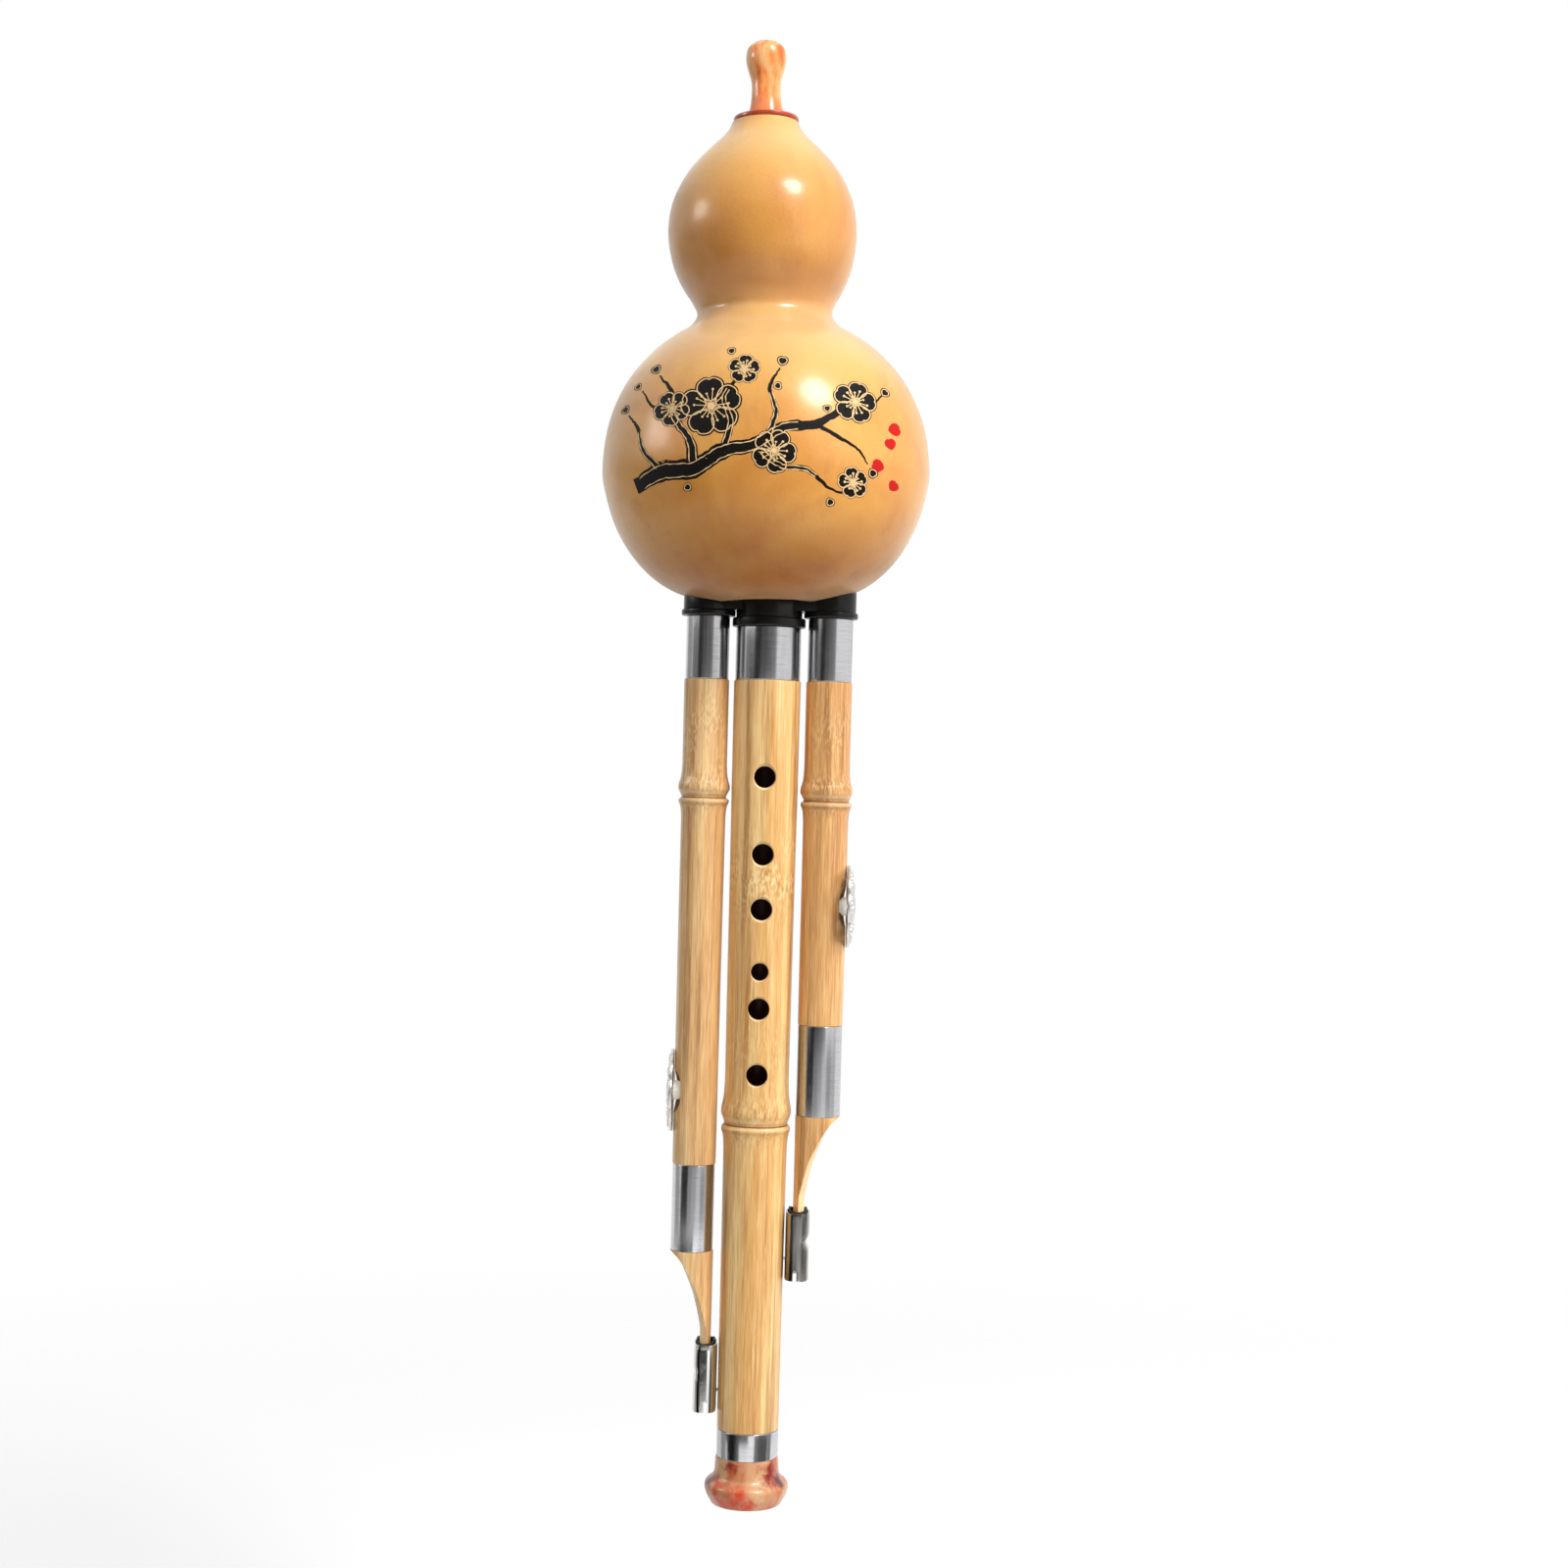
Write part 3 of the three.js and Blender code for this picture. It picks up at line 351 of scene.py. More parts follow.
@dataclass(frozen=True)
class Culm(Finish):
    """Lacquered bamboo with long fibres, a stained node and freckles, and raw wood where it is cut.

    The axis, the node, the top and the skin are the pipe's own, because the pattern follows the culm. The skin
    is its radius at the top, and narrows by the widening for each millimetre down. A freckle patch is a height
    and a strength. The pale edge is how deep a cut stays pale; deeper in, the cut is painted dark brown as the
    shade inside the holes and the bore. The recess is the height of a hollow in the side, whose cut faces are
    painted dark brown as the shade in it, partly a dark lacquer.
    """

    axis: float
    node: float
    top: float
    skin: float
    widening: float
    light: Colour
    tan: Colour
    brown: Colour
    freckles: tuple[Pair, ...]
    seed: float
    recess: float | None
    pale_edge: float
    straw: Colour = tint(252, 226, 172)
    roots: Colour = tint(250, 222, 166)
    ring: Colour = tint(244, 212, 158)
    scar: Colour = tint(92, 52, 22)
    fleck: Colour = tint(252, 226, 170)
    raw: Colour = tint(252, 230, 184)
    raw_fibre: Colour = tint(228, 186, 126)
    # painted shade: the deeper cut faces inside the holes and the bore, and the recess's cut faces
    bore: Colour = tint(112, 62, 32)
    hollow: Colour = tint(116, 66, 32)

    def paint(self, web: Web) -> None:
        """Draws the nodes of this finish."""
        place = web.place().shifted(-self.axis * MM, 0, 0)
        x, y, z = place.parts()
        height = z * IN_MM
        moved = place.shifted(self.seed, self.seed * 0.7, 0)
        broad = web.noise(moved.scaled(1, 1, 0.04), 150, 3, 0.55, 0.3)
        fibre = web.noise(moved.scaled(1, 1, 0.018), 900, 4, 0.6)
        strand = web.noise(moved.scaled(1, 1, 0.03), 330, 3, 0.6)
        hair = web.noise(moved.scaled(1, 1, 0.03), 3400, 2, 0.6)
        stain = web.noise(moved.scaled(1, 1, 0.3), 60, 4, 0.6, 0.5)
        colour = web.mix(broad.ramp(0.38, 0.6), self.light, self.tan)
        colour = web.mix(strand.ramp(0.52, 0.68) * 0.6, colour, self.brown)
        colour = web.mix(fibre.ramp(0.5, 0.72) * 0.5, colour, self.brown)
        colour = web.mix(hair.ramp(0.48, 0.66) * 0.3, colour, self.brown)
        colour = web.mix(hair.ramp(0.46, 0.34) * 0.3, colour, self.straw)
        colour = web.mix(stain.ramp(0.55, 0.8) * 0.4, colour, self.tan)
        above = height - self.node
        scar = above.hump(-0.25, 0.24)
        valley = above.hump(0.3, 0.9) * 0.35 + above.hump(-2.1, 0.5) * 0.35
        ring = above.hump(-1.1, 0.4) * 0.6 + above.hump(1.2, 0.6) * 0.35
        roots = web.noise(moved.scaled(1, 1, 0.2), 1900, 2, 0.5)
        dust = (above.hump(4.4, 3.0) * 0.4 + above.hump(-3.2, 1.6) * 0.25) * roots.ramp(0.5, 0.62)
        colour = web.mix(above.hump(4.2, 3.4) * roots.ramp(0.46, 0.36) * 0.4, colour, self.roots)
        colour = web.mix(dust, colour, self.brown)
        colour = web.mix(valley, colour, self.brown)
        colour = web.mix(ring, colour, self.ring)
        colour = web.mix(scar * 0.85, colour, self.scar)
        spots = web.noise(moved.shifted(0.2, 0, 0).scaled(1, 1, 0.3), 1700, 1, 0.4)
        patch = web.noise(moved.scaled(1, 1, 0.6), 130, 2, 0.5).ramp(0.38, 0.54)
        for middle, strength in self.freckles:
            near = patch * height.hump(middle, 10) * strength
            colour = web.mix(near * spots.ramp(0.52, 0.64) * 0.6, colour, self.brown)
            colour = web.mix(near * spots.ramp(0.48, 0.38) * 0.8, colour, self.fleck)
        depth = (height - self.top) * self.widening + self.skin - (x * x + y * y) ** 0.5 * IN_MM
        raw = depth.ramp(0.16, 0.27)
        cut = web.mix(hair, self.raw, self.raw_fibre)
        # painted shade: deeper cut faces darken to brown inside the holes and the bore
        cut = web.mix(depth.ramp(self.pale_edge, self.pale_edge + 0.9), cut, self.bore)
        # painted shade, partly a dark lacquer: the recess's cut faces turn dark brown
        if self.recess is not None:
            cut = web.mix(height.hump(self.recess, 9), cut, self.hollow)
        colour = web.mix(raw, colour, cut)
        relief = web.bump(fibre, 0.05, 0.8)
        relief = web.bump(hair, 0.025, 0.7, relief)
        relief = web.bump(dust + scar, 0.1, 0.5, relief)
        web.surface(Base_Color=colour, Roughness=0.3 + 0.16 * fibre + 0.25 * raw, Normal=relief,
                    Coat_Weight=0.3, Coat_Roughness=0.14)


@dataclass(frozen=True)
class Stain:
    """A dark cloud in the resin: its place, its reach and its colour."""

    place: Point
    reach: float
    tone: Colour


@dataclass(frozen=True)
class Marble(Finish):
    """Polished cast resin, cream and peach with orange and red-brown swirls.

    Upright is how far the swirls are drawn out along Z, share how much darker they are, curl how much they
    turn and veins how strong the thin ones are. Under dark_below the resin darkens.
    """

    cream: Colour = tint(255, 202, 136)
    peach: Colour = tint(252, 142, 60)
    orange: Colour = tint(234, 90, 20)
    russet: Colour = tint(156, 40, 14)
    upright: float = 0.4
    share: float = 0.0
    scale: float = 1.0
    curl: float = 1.0
    veins: float = 1.0
    dark_below: float = -1000.0
    coat: float = 0.4
    stains: tuple[Stain, ...] = ()

    def paint(self, web: Web) -> None:
        """Draws the nodes of this finish."""
        place = web.place()
        drawn = place.scaled(1, 1, self.upright)
        apart = place.shifted(0.3, 0.1, 0.2).scaled(1, 1, self.upright)
        flow = web.noise(drawn, 130 * self.scale, 3, 0.55, 2.2 * self.curl)
        swirl = web.noise(apart, 210 * self.scale, 4, 0.6, 3.2 * self.curl)
        thread = web.noise(drawn, 420 * self.scale, 2, 0.5, 2.5 * self.curl)
        colour = web.mix(flow.ramp(0.3, 0.66), self.cream, self.peach)
        colour = web.mix(flow.ramp(0.5, 0.74), colour, self.orange)
        vein = 1 - abs(swirl - 0.5).ramp(0.0, 0.055)
        colour = web.mix(vein * (0.4 + self.share) * self.veins, colour, self.orange)
        colour = web.mix(swirl.ramp(0.57, 0.72) * (0.55 + self.share), colour, self.russet)
        vein = 1 - abs(thread - 0.5).ramp(0.0, 0.03)
        colour = web.mix(vein * 0.2 * self.veins, colour, self.cream)
        fleck = web.noise(place.shifted(0.1, 0.3, 0), 260, 2, 0.5, 1.5)
        for stain in self.stains:
            x, y, z = place.shifted(*(-at * MM for at in stain.place)).parts()
            away = (x * x + y * y + z * z) ** 0.5 * IN_MM
            away = away + (swirl - 0.5) * stain.reach * 2.6 + (fleck - 0.5) * stain.reach * 1.6
            colour = web.mix(away.ramp(stain.reach * 1.1, stain.reach * -0.1), colour, stain.tone)
        height = place.parts()[2] * IN_MM
        colour = web.mix(height.ramp(self.dark_below + 9, self.dark_below + 1) * 0.7, colour, self.orange)
        colour = web.mix(height.ramp(self.dark_below + 0.5, self.dark_below - 0.3) * 0.85, colour, self.russet)
        relief = web.bump(web.noise(place, 300, 2), 0.02, 0.5)
        web.surface(Base_Color=colour, Roughness=0.24 + 0.1 * flow, Normal=relief,
                    Coat_Weight=self.coat, Coat_Roughness=0.08, Specular_IOR_Level=0.4)


@dataclass(frozen=True)
class SheetSteel(Finish):
    """Polished sheet steel with fine turning marks round it and a few dull patches.

    Polish is its least roughness, wear how dull the patches are, dent how uneven and turned how marked it is.
    """

    bright: Colour = tint(208, 208, 210)
    dull: Colour = tint(160, 158, 158)
    polish: float = 0.14
    wear: float = 0.6
    dent: float = 0.04
    turned: float = 1.0

    def paint(self, web: Web) -> None:
        """Draws the nodes of this finish."""
        place = web.place()
        brush = web.noise(place.scaled(0.03, 0.03, 1), 5200, 2, 0.6)
        smear = web.noise(place.scaled(1, 1, 0.1), 160, 3, 0.6)
        prints = web.noise(place, 420, 4, 0.7).ramp(0.52, 0.7)
        worn = smear.ramp(0.42, 0.7) * self.wear + brush.ramp(0.45, 0.7) * 0.3 * self.turned
        relief = web.bump(brush, 0.004, 0.6 * self.turned)
        relief = web.bump(web.noise(place.scaled(1, 1, 0.2), 140, 1), 0.05, self.dent, relief)
        web.surface(Base_Color=web.mix(worn, self.bright, self.dull), Metallic=1.0, Normal=relief,
                    Roughness=self.polish + 0.05 * smear + 0.04 * brush + 0.05 * prints)


@dataclass(frozen=True)
class Moulding(Finish):
    """A moulded plastic or rubber of one colour, with faint flow marks, a fine grain and rubbed spots."""

    colour: Colour = tint(13, 12, 11)
    rubbed: Colour = tint(30, 28, 26)
    gloss: float = 0.26
    grain: float = 900.0
    depth: float = 0.02
    shine: float = 0.3
    # a glow above 0 is painted light: the surface gives off its own colour as if lit
    glow: float = 0.0

    def paint(self, web: Web) -> None:
        """Draws the nodes of this finish."""
        place = web.place()
        flow = web.noise(place, 160, 3, 0.55, 0.8)
        grain = web.noise(place, self.grain, 3, 0.6)
        rub = web.noise(place, 600, 4, 0.65).ramp(0.56, 0.76)
        colour = web.mix(rub * 0.5 + flow.ramp(0.4, 0.8) * 0.35, self.colour, self.rubbed)
        web.surface(Base_Color=colour, Roughness=self.gloss + 0.14 * rub + 0.06 * grain,
                    Normal=web.bump(grain, self.depth, 0.8), Specular_IOR_Level=self.shine,
                    Emission_Color=colour, Emission_Strength=self.glow)


@dataclass(frozen=True)
class CastSilver(Finish):
    """Cast white metal, bright where it is rubbed and dark in its hollows."""

    bright: Colour = tint(226, 224, 220)
    dark: Colour = tint(92, 90, 88)

    def paint(self, web: Web) -> None:
        """Draws the nodes of this finish."""
        place = web.place()
        patina = web.noise(place, 700, 4, 0.65)
        cast = web.noise(place, 1700, 3, 0.6)
        edge = web.node("ShaderNodeNewGeometry", out="Pointiness")
        hollow = edge.ramp(0.5, 0.42)
        colour = web.mix(patina.ramp(0.5, 0.78) * 0.5 + hollow * 0.6, self.bright, self.dark)
        web.surface(Base_Color=colour, Metallic=0.95, Roughness=0.26 + 0.22 * patina,
                    Normal=web.bump(cast, 0.05, 0.8))


@dataclass(frozen=True)
class RolledBrass(Finish):
    """Rolled brass reed plate, filed across and a little tarnished."""

    bright: Colour = tint(222, 184, 104)
    tarnish: Colour = tint(150, 106, 50)

    def paint(self, web: Web) -> None:
        """Draws the nodes of this finish."""
        place = web.place()
        filed = web.noise(place.scaled(0.02, 1, 1), 4200, 2, 0.6)
        age = web.noise(place, 240, 4, 0.65)
        colour = web.mix(age.ramp(0.42, 0.75) * 0.7 + filed.ramp(0.5, 0.7) * 0.15, self.bright, self.tarnish)
        web.surface(Base_Color=colour, Metallic=1.0, Roughness=0.26 + 0.2 * age, Normal=web.bump(filed, 0.015))


@dataclass(frozen=True)
class PressedCork(Finish):
    """Pressed cork: tan grains with dark joints and pits."""

    tan: Colour = tint(206, 160, 108)
    brown: Colour = tint(122, 78, 42)

    def paint(self, web: Web) -> None:
        """Draws the nodes of this finish."""
        place = web.place()
        grains = web.node("ShaderNodeTexVoronoi", {}, {"Vector": place, "Scale": 900.0}, out="Distance")
        tone = web.noise(place, 500, 3, 0.6)
        pits = web.noise(place, 1500, 3, 0.6).ramp(0.6, 0.68)
        colour = web.mix(grains.ramp(0.3, 0.62) * 0.6 + tone.ramp(0.5, 0.8) * 0.4, self.tan, self.brown)
        colour = web.mix(pits * 0.7, colour, tint(64, 38, 20))
        web.surface(Base_Color=colour, Roughness=0.82 + 0.1 * tone,
                    Normal=web.bump(grains + pits, 0.12, 0.8))


@dataclass(frozen=True)
class Ink(Finish):
    """The colour rubbed into the carved picture, a little worn."""

    colour: Colour = tint(10, 8, 7)
    worn: Colour = tint(44, 30, 20)

    def paint(self, web: Web) -> None:
        """Draws the nodes of this finish."""
        place = web.place()
        wear = web.noise(place, 1300, 4, 0.65)
        strokes = web.noise(place.scaled(1, 1, 0.25), 2600, 2, 0.6)
        colour = web.mix(wear.ramp(0.54, 0.78) * 0.55 + strokes.ramp(0.6, 0.8) * 0.25, self.colour, self.worn)
        web.surface(Base_Color=colour, Roughness=0.45 + 0.2 * wear, Normal=web.bump(wear, 0.05, 0.7),
                    Specular_IOR_Level=0.14)


def put(name: str, data: Any) -> Thing:
    """Adds an object with this data to the scene."""
    made = bpy.data.objects.new(name, data)
    bpy.context.collection.objects.link(made)
    return made


@dataclass
class Form:
    """A mesh in the making, in millimetres."""

    points: np.ndarray
    faces: list[tuple[int, ...]]

    @staticmethod
    def read(mesh: bpy.types.Mesh, unit: float = MM) -> "Form":
        """Reads a mesh back as a form, where the unit is what the mesh has for a millimetre."""
        points = np.array([vertex.co for vertex in mesh.vertices]) / unit
        return Form(points, [tuple(face.vertices) for face in mesh.polygons])

    def moved(self, matrix: Matrix) -> "Form":
        """The same form, moved by a matrix in millimetres."""
        turn, shift = np.array(matrix.to_3x3()), np.array(matrix.translation)
        return Form(self.points @ turn.T + shift, self.faces)

    def plus(self, other: "Form") -> "Form":
        """Both forms in one mesh."""
        faces = self.faces + [tuple(i + len(self.points) for i in face) for face in other.faces]
        return Form(np.vstack([self.points, other.points]), faces)

    def thing(self, name: str) -> Thing:
        """The form as a Blender object, in metres."""
        mesh = bpy.data.meshes.new(name)
        mesh.from_pydata((self.points * MM).tolist(), [], self.faces)
        mesh.update()
        return put(name, mesh)


def joined(forms: Iterable[Form]) -> Form:
    """Several forms in one mesh."""
    return functools.reduce(Form.plus, forms)


def between(rows: Rows, radii: Pair, heights: Pair) -> Outline:
    """Sets rows of a share in height and a share in radius between two radii and two heights."""
    (narrow, wide), (start, end) = radii, heights
    return [(narrow + (wide - narrow) * rise, start + (end - start) * way) for way, rise in rows]


def smooth(points: Rows, steps: int = 6) -> Outline:
    """A flowing curve through points.

    Args:
        points: The points it passes through, in order.
        steps: How many pieces lie between two of them.

    Returns:
        The points of the curve.
    """
    given = np.array(points, dtype=float)
    padded = np.vstack([2 * given[0] - given[1], given, 2 * given[-1] - given[-2]])
    line = [given[0]]
    for p0, p1, p2, p3 in zip(padded, padded[1:], padded[2:], padded[3:]):
        gaps = [max(np.linalg.norm(b - a), NEAR) ** 0.5 for a, b in ((p0, p1), (p1, p2), (p2, p3))]
        start = p2 - p1 + gaps[1] * ((p1 - p0) / gaps[0] - (p2 - p0) / (gaps[0] + gaps[1]))
        end = p2 - p1 + gaps[1] * ((p3 - p2) / gaps[2] - (p3 - p1) / (gaps[1] + gaps[2]))
        for step in range(1, steps + 1):
            t = step / steps
            line.append((2 * (p1 - p2) + start + end) * t ** 3 + (3 * (p2 - p1) - 2 * start - end) * t ** 2
                        + start * t + p1)
    return [tuple(point) for point in line]


def eased(outline: Rows, reach: float, steps: int = 3, limit: float = 35.0) -> Outline:
    """Rounds the sharp corners of a closed outline.

    Args:
        outline: The corners, in order, closing on itself.
        reach: How far along each side a corner's rounding starts.
        steps: How many pieces a rounded corner has.
        limit: Corners that turn by fewer degrees stay.

    Returns:
        The rounded outline.
    """
    line: Outline = []
    count = len(outline)
    for i in range(count):
        before, here, after = (np.array(outline[(i + step) % count], dtype=float) for step in (-1, 0, 1))
        back, on = before - here, after - here
        far_back, far_on = np.linalg.norm(back), np.linalg.norm(on)
        if far_back < NEAR or far_on < NEAR:
            continue
        turn = 180 - math.degrees(math.acos(np.clip(back @ on / (far_back * far_on), -1, 1)))
        if turn < limit or here[0] < NEAR:
            line.append(tuple(here))
            continue
        first = here + back / far_back * min(reach, far_back * 0.45)
        last = here + on / far_on * min(reach, far_on * 0.45)
        for step in range(steps + 1):
            t = step / steps
            line.append(tuple(first * (1 - t) ** 2 + here * 2 * t * (1 - t) + last * t ** 2))
    return line


def lathe(outline: Rows, sides: int) -> Form:
    """Turns an outline of [radius, height] about Z.

    Args:
        outline: Its points. It closes on itself, or starts and ends on the axis.
        sides: How many faces go round.

    Returns:
        The closed form, its faces outwards.
    """
    around = np.linspace(0, 2 * math.pi, sides, endpoint=False)
    rows, points = [], []
    for radius, height in outline:
        turns = around if radius > NEAR else around[:1]
        rows.append(range(len(points), len(points) + len(turns)))
        points.extend((radius * math.cos(turn), radius * math.sin(turn), height) for turn in turns)
    area = sum(a[0] * b[1] - b[0] * a[1] for a, b in zip(outline, [*outline[1:], outline[0]]))
    faces = []
    for i, low in enumerate(rows):
        high = rows[(i + 1) % len(rows)]
        if len(low) == 1 and len(high) == 1:
            continue
        for j in range(sides):
            k = (j + 1) % sides
            face = [low[j % len(low)], low[k % len(low)], high[k % len(high)], high[j % len(high)]]
            face = list(dict.fromkeys(face))
            faces.append(tuple(face if area > 0 else face[::-1]))
    return Form(np.array(points), faces)


def loft(rings: Sequence[Rows]) -> Form:
    """A closed skin over rings of as many points, lowest first, each anticlockwise from above."""
    count = len(rings[0])
    faces = [(level * count + i, level * count + (i + 1) % count, (level + 1) * count + (i + 1) % count,
              (level + 1) * count + i) for level in range(len(rings) - 1) for i in range(count)]
    faces.append(tuple(range(count - 1, -1, -1)))
    faces.append(tuple(range((len(rings) - 1) * count, len(rings) * count)))
    return Form(np.array([point for ring in rings for point in ring], dtype=float), faces)


def upright(radius: float, low: float, high: float, sides: int, centre: Pair = (0, 0)) -> Form:
    """A round bar along Z."""
    bar = lathe([(0, low), (radius, low), (radius, high), (0, high)], sides)
    return bar.moved(Matrix.Translation((*centre, 0)))


def tube(radius: float, bore: float, low: float, high: float, sides: int, ease: float, steps: int = 4) -> Form:
    """A tube along Z whose rims are eased."""
    return lathe(eased([(bore, low), (radius, low), (radius, high), (bore, high)], ease, steps), sides)


def along_x(form: Form, height: float = 0.0) -> Form:
    """Lays a form that was made along Z along +X, at a height."""
    return form.moved(Matrix.Translation((0, 0, height)) @ Matrix.Rotation(math.pi / 2, 4, "Y"))


def box(low: Sequence[float], high: Sequence[float]) -> Form:
    """A block between two corners, as a cutter or a part of a larger form."""
    (x0, y0, z0), (x1, y1, z1) = low, high
    return loft([[(x0, y0, z), (x1, y0, z), (x1, y1, z), (x0, y1, z)] for z in (z0, z1)])


def settle(thing: Thing) -> None:
    """Turns a thing and its modifiers into a plain mesh."""
    graph = bpy.context.evaluated_depsgraph_get()
    mesh = bpy.data.meshes.new_from_object(thing.evaluated_get(graph), preserve_all_data_layers=True,
                                           depsgraph=graph)
    thing.modifiers.clear()
    thing.data = mesh


def carve(thing: Thing, cutters: Sequence[Form], operation: str = "DIFFERENCE") -> None:
    """Cuts forms out of a thing, or joins them to it.

    Args:
        thing: The thing that changes.
        cutters: The forms, each closed.
        operation: Blender's name for what is done.
    """
    tools = [cutter.thing("tool") for cutter in cutters]
    for tool in tools:
        step = thing.modifiers.new("carve", "BOOLEAN")
        step.object, step.operation, step.solver = tool, operation, "MANIFOLD"
    settle(thing)
    for tool in tools:
        bpy.data.objects.remove(tool)


def soften(thing: Thing, width: float, segments: int = 2, angle: float = 40.0) -> None:
    """Rounds a thing's sharp edges by a width in millimetres."""
    step = thing.modifiers.new("soften", "BEVEL")
    step.width, step.segments, step.limit_method = width * MM, segments, "ANGLE"
    step.angle_limit = math.radians(angle)
    settle(thing)


def dress(thing: Thing, finish: Finish, body: Body, stands_for: str | None = None,
          crease: float = 34.0) -> Thing:
    """Gives a finished piece its shading, finish, body and the CAD node it stands for.

    Args:
        thing: The piece.
        finish: Its finish.
        body: The body that it moves with.
        stands_for: The CAD node that it replaces.
        crease: Edges that turn by more degrees are sharp.

    Returns:
        The piece.
    """
    mesh = thing.data
    mesh.shade_smooth()
    mesh.set_sharp_from_angle(angle=math.radians(crease))
    mesh.materials.clear()
    mesh.materials.append(finish.material())
    mesh.polygons.foreach_set("material_index", [0] * len(mesh.polygons))
    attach(thing, body.value)
    if stands_for:
        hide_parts(stands_for)
    log.info("%s: %d faces, rides on %s", thing.name, len(mesh.polygons), body.value)
    return thing


def keep(node: str, finish: Finish) -> None:
    """Gives a CAD node that stays a finer material."""
    mesh = frame["nodes"][node].data
    mesh.materials.clear()
    mesh.materials.append(finish.material())
    log.info("%s: kept from the frame", node)


class Recipe:
    """A Geometry Nodes group with named inputs. Its lay_out method draws the nodes."""

    name = "recipe"
    inputs: dict[str, tuple[str, Any]] = {}

    def __init__(self) -> None:
        """Makes the group and its inputs, then draws it."""
        self.tree = bpy.data.node_groups.new(self.name, "GeometryNodeTree")
        self.web = Web(self.tree)
        sides = self.tree.interface
        sides.new_socket("Geometry", in_out="INPUT", socket_type="NodeSocketGeometry")
        for name, (kind, value) in self.inputs.items():
            socket = sides.new_socket(name, in_out="INPUT", socket_type="NodeSocket" + kind)
            if value is not None:
                socket.default_value = value
        sides.new_socket("Geometry", in_out="OUTPUT", socket_type="NodeSocketGeometry")
        entry = self.web.add("NodeGroupInput")
        self.given = {output.name: Socket(self.web, output) for output in entry.outputs if output.name}
        self.web.add("NodeGroupOutput", {}, {0: self.finished(self.lay_out())})

    def lay_out(self) -> Socket:
        """Draws the nodes and gives the geometry."""
        raise NotImplementedError

    def finished(self, geometry: Socket) -> Socket:
        """Turns instances into a mesh with its material."""
        real = self.web.node("GeometryNodeRealizeInstances", {}, {0: geometry})
        return self.web.node("GeometryNodeSetMaterial", {}, {"Geometry": real, "Material": self.given["Material"]})

    def apply(self, thing: Thing, values: dict[str, Any]) -> Thing:
        """Runs the group on a thing and leaves a plain mesh.

        Args:
            thing: The thing whose mesh goes in.
            values: The named inputs.

        Returns:
            The thing.
        """
        step = thing.modifiers.new(self.name, "NODES")
        step.node_group = self.tree
        for item in self.tree.interface.items_tree:
            if item.in_out == "INPUT" and item.name in values:
                step[item.identifier] = values[item.name]
        settle(thing)
        return thing


class CulmRecipe(Recipe):
    """Shapes a straight bamboo tube: its node, its waviness and the holes drilled in it."""

    name = "bamboo_culm"
    inputs = {
        "Axis": ("Float", 0.0), "Skin": ("Float", 0.009), "Node": ("Float", -0.1), "Reach": ("Float", 0.013),
        "Swell": ("Float", 0.001), "Waviness": ("Float", 0.00012), "Seed": ("Float", 1.0),
        "Drill Points": ("Object", None), "Drill Bit": ("Object", None), "Material": ("Material", None)}
    # share of the reach from -1 to 1, and of the swell; the groove is at 0, and the curve starts so far under it
    rise = ((-1, 0), (-0.62, 0.02), (-0.42, 0.14), (-0.26, 0.42), (-0.16, 0.8), (-0.11, 0.86), (-0.06, 0.6),
            (-0.02, 0.06), (0.02, 0.04), (0.06, 0.26), (0.12, 0.5), (0.19, 0.84), (0.26, 1), (0.34, 0.94),
            (0.5, 0.52), (0.72, 0.16), (1, 0))
    floor = 0.2

    def lay_out(self) -> Socket:
        """Draws the nodes and gives the geometry."""
        web, given = self.web, self.given
        here = web.node("GeometryNodeInputPosition")
        x, y, z = here.parts()
        x = x - given["Axis"]
        radius = (x * x + y * y) ** 0.5
        share = web.node("ShaderNodeClamp", {}, {0: ((z - given["Node"]) / given["Reach"]) * 0.5 + 0.5})
        curve = [((along + 1) / 2, (rise + self.floor) / (1 + self.floor)) for along, rise in self.rise]
        lift = web.node("ShaderNodeFloatCurve", {"curve": curve}, {"Value": share}) * (1 + self.floor) - self.floor
        where = web.node("ShaderNodeCombineXYZ", {}, {0: x * 55 + given["Seed"], 1: y * 55, 2: z * 14})
        wave = web.noise(where, 1.0, 1.0) - 0.5
        out = lift * given["Swell"] + wave * 2 * given["Waviness"]
        push = web.node("ShaderNodeCombineXYZ", {}, {0: x / radius * out, 1: y / radius * out, 2: 0.0})
        shaped = web.node("GeometryNodeSetPosition", {}, {
            "Geometry": given["Geometry"], "Selection": radius > given["Skin"], "Offset": push})
        points = web.node("GeometryNodeObjectInfo", {"transform_space": "ORIGINAL"},
                          {"Object": given["Drill Points"]}, out="Geometry")
        bit = web.node("GeometryNodeObjectInfo", {"transform_space": "ORIGINAL"},
                       {"Object": given["Drill Bit"]}, out="Geometry")
        aim = web.node("GeometryNodeInputNamedAttribute", {"data_type": "FLOAT_VECTOR"}, {"Name": "aim"})
        size = web.node("GeometryNodeInputNamedAttribute", {"data_type": "FLOAT_VECTOR"}, {"Name": "size"})
        bits = web.node("GeometryNodeInstanceOnPoints", {}, {
            "Points": web.node("GeometryNodeMeshToPoints", {}, {"Mesh": points}), "Instance": bit,
            "Rotation": aim, "Scale": size})
        bits = web.node("GeometryNodeRealizeInstances", {}, {0: bits})
        return web.node("GeometryNodeMeshBoolean", {"operation": "DIFFERENCE", "solver": "MANIFOLD"},
                        {"Mesh 1": shaped, "Mesh 2": bits})


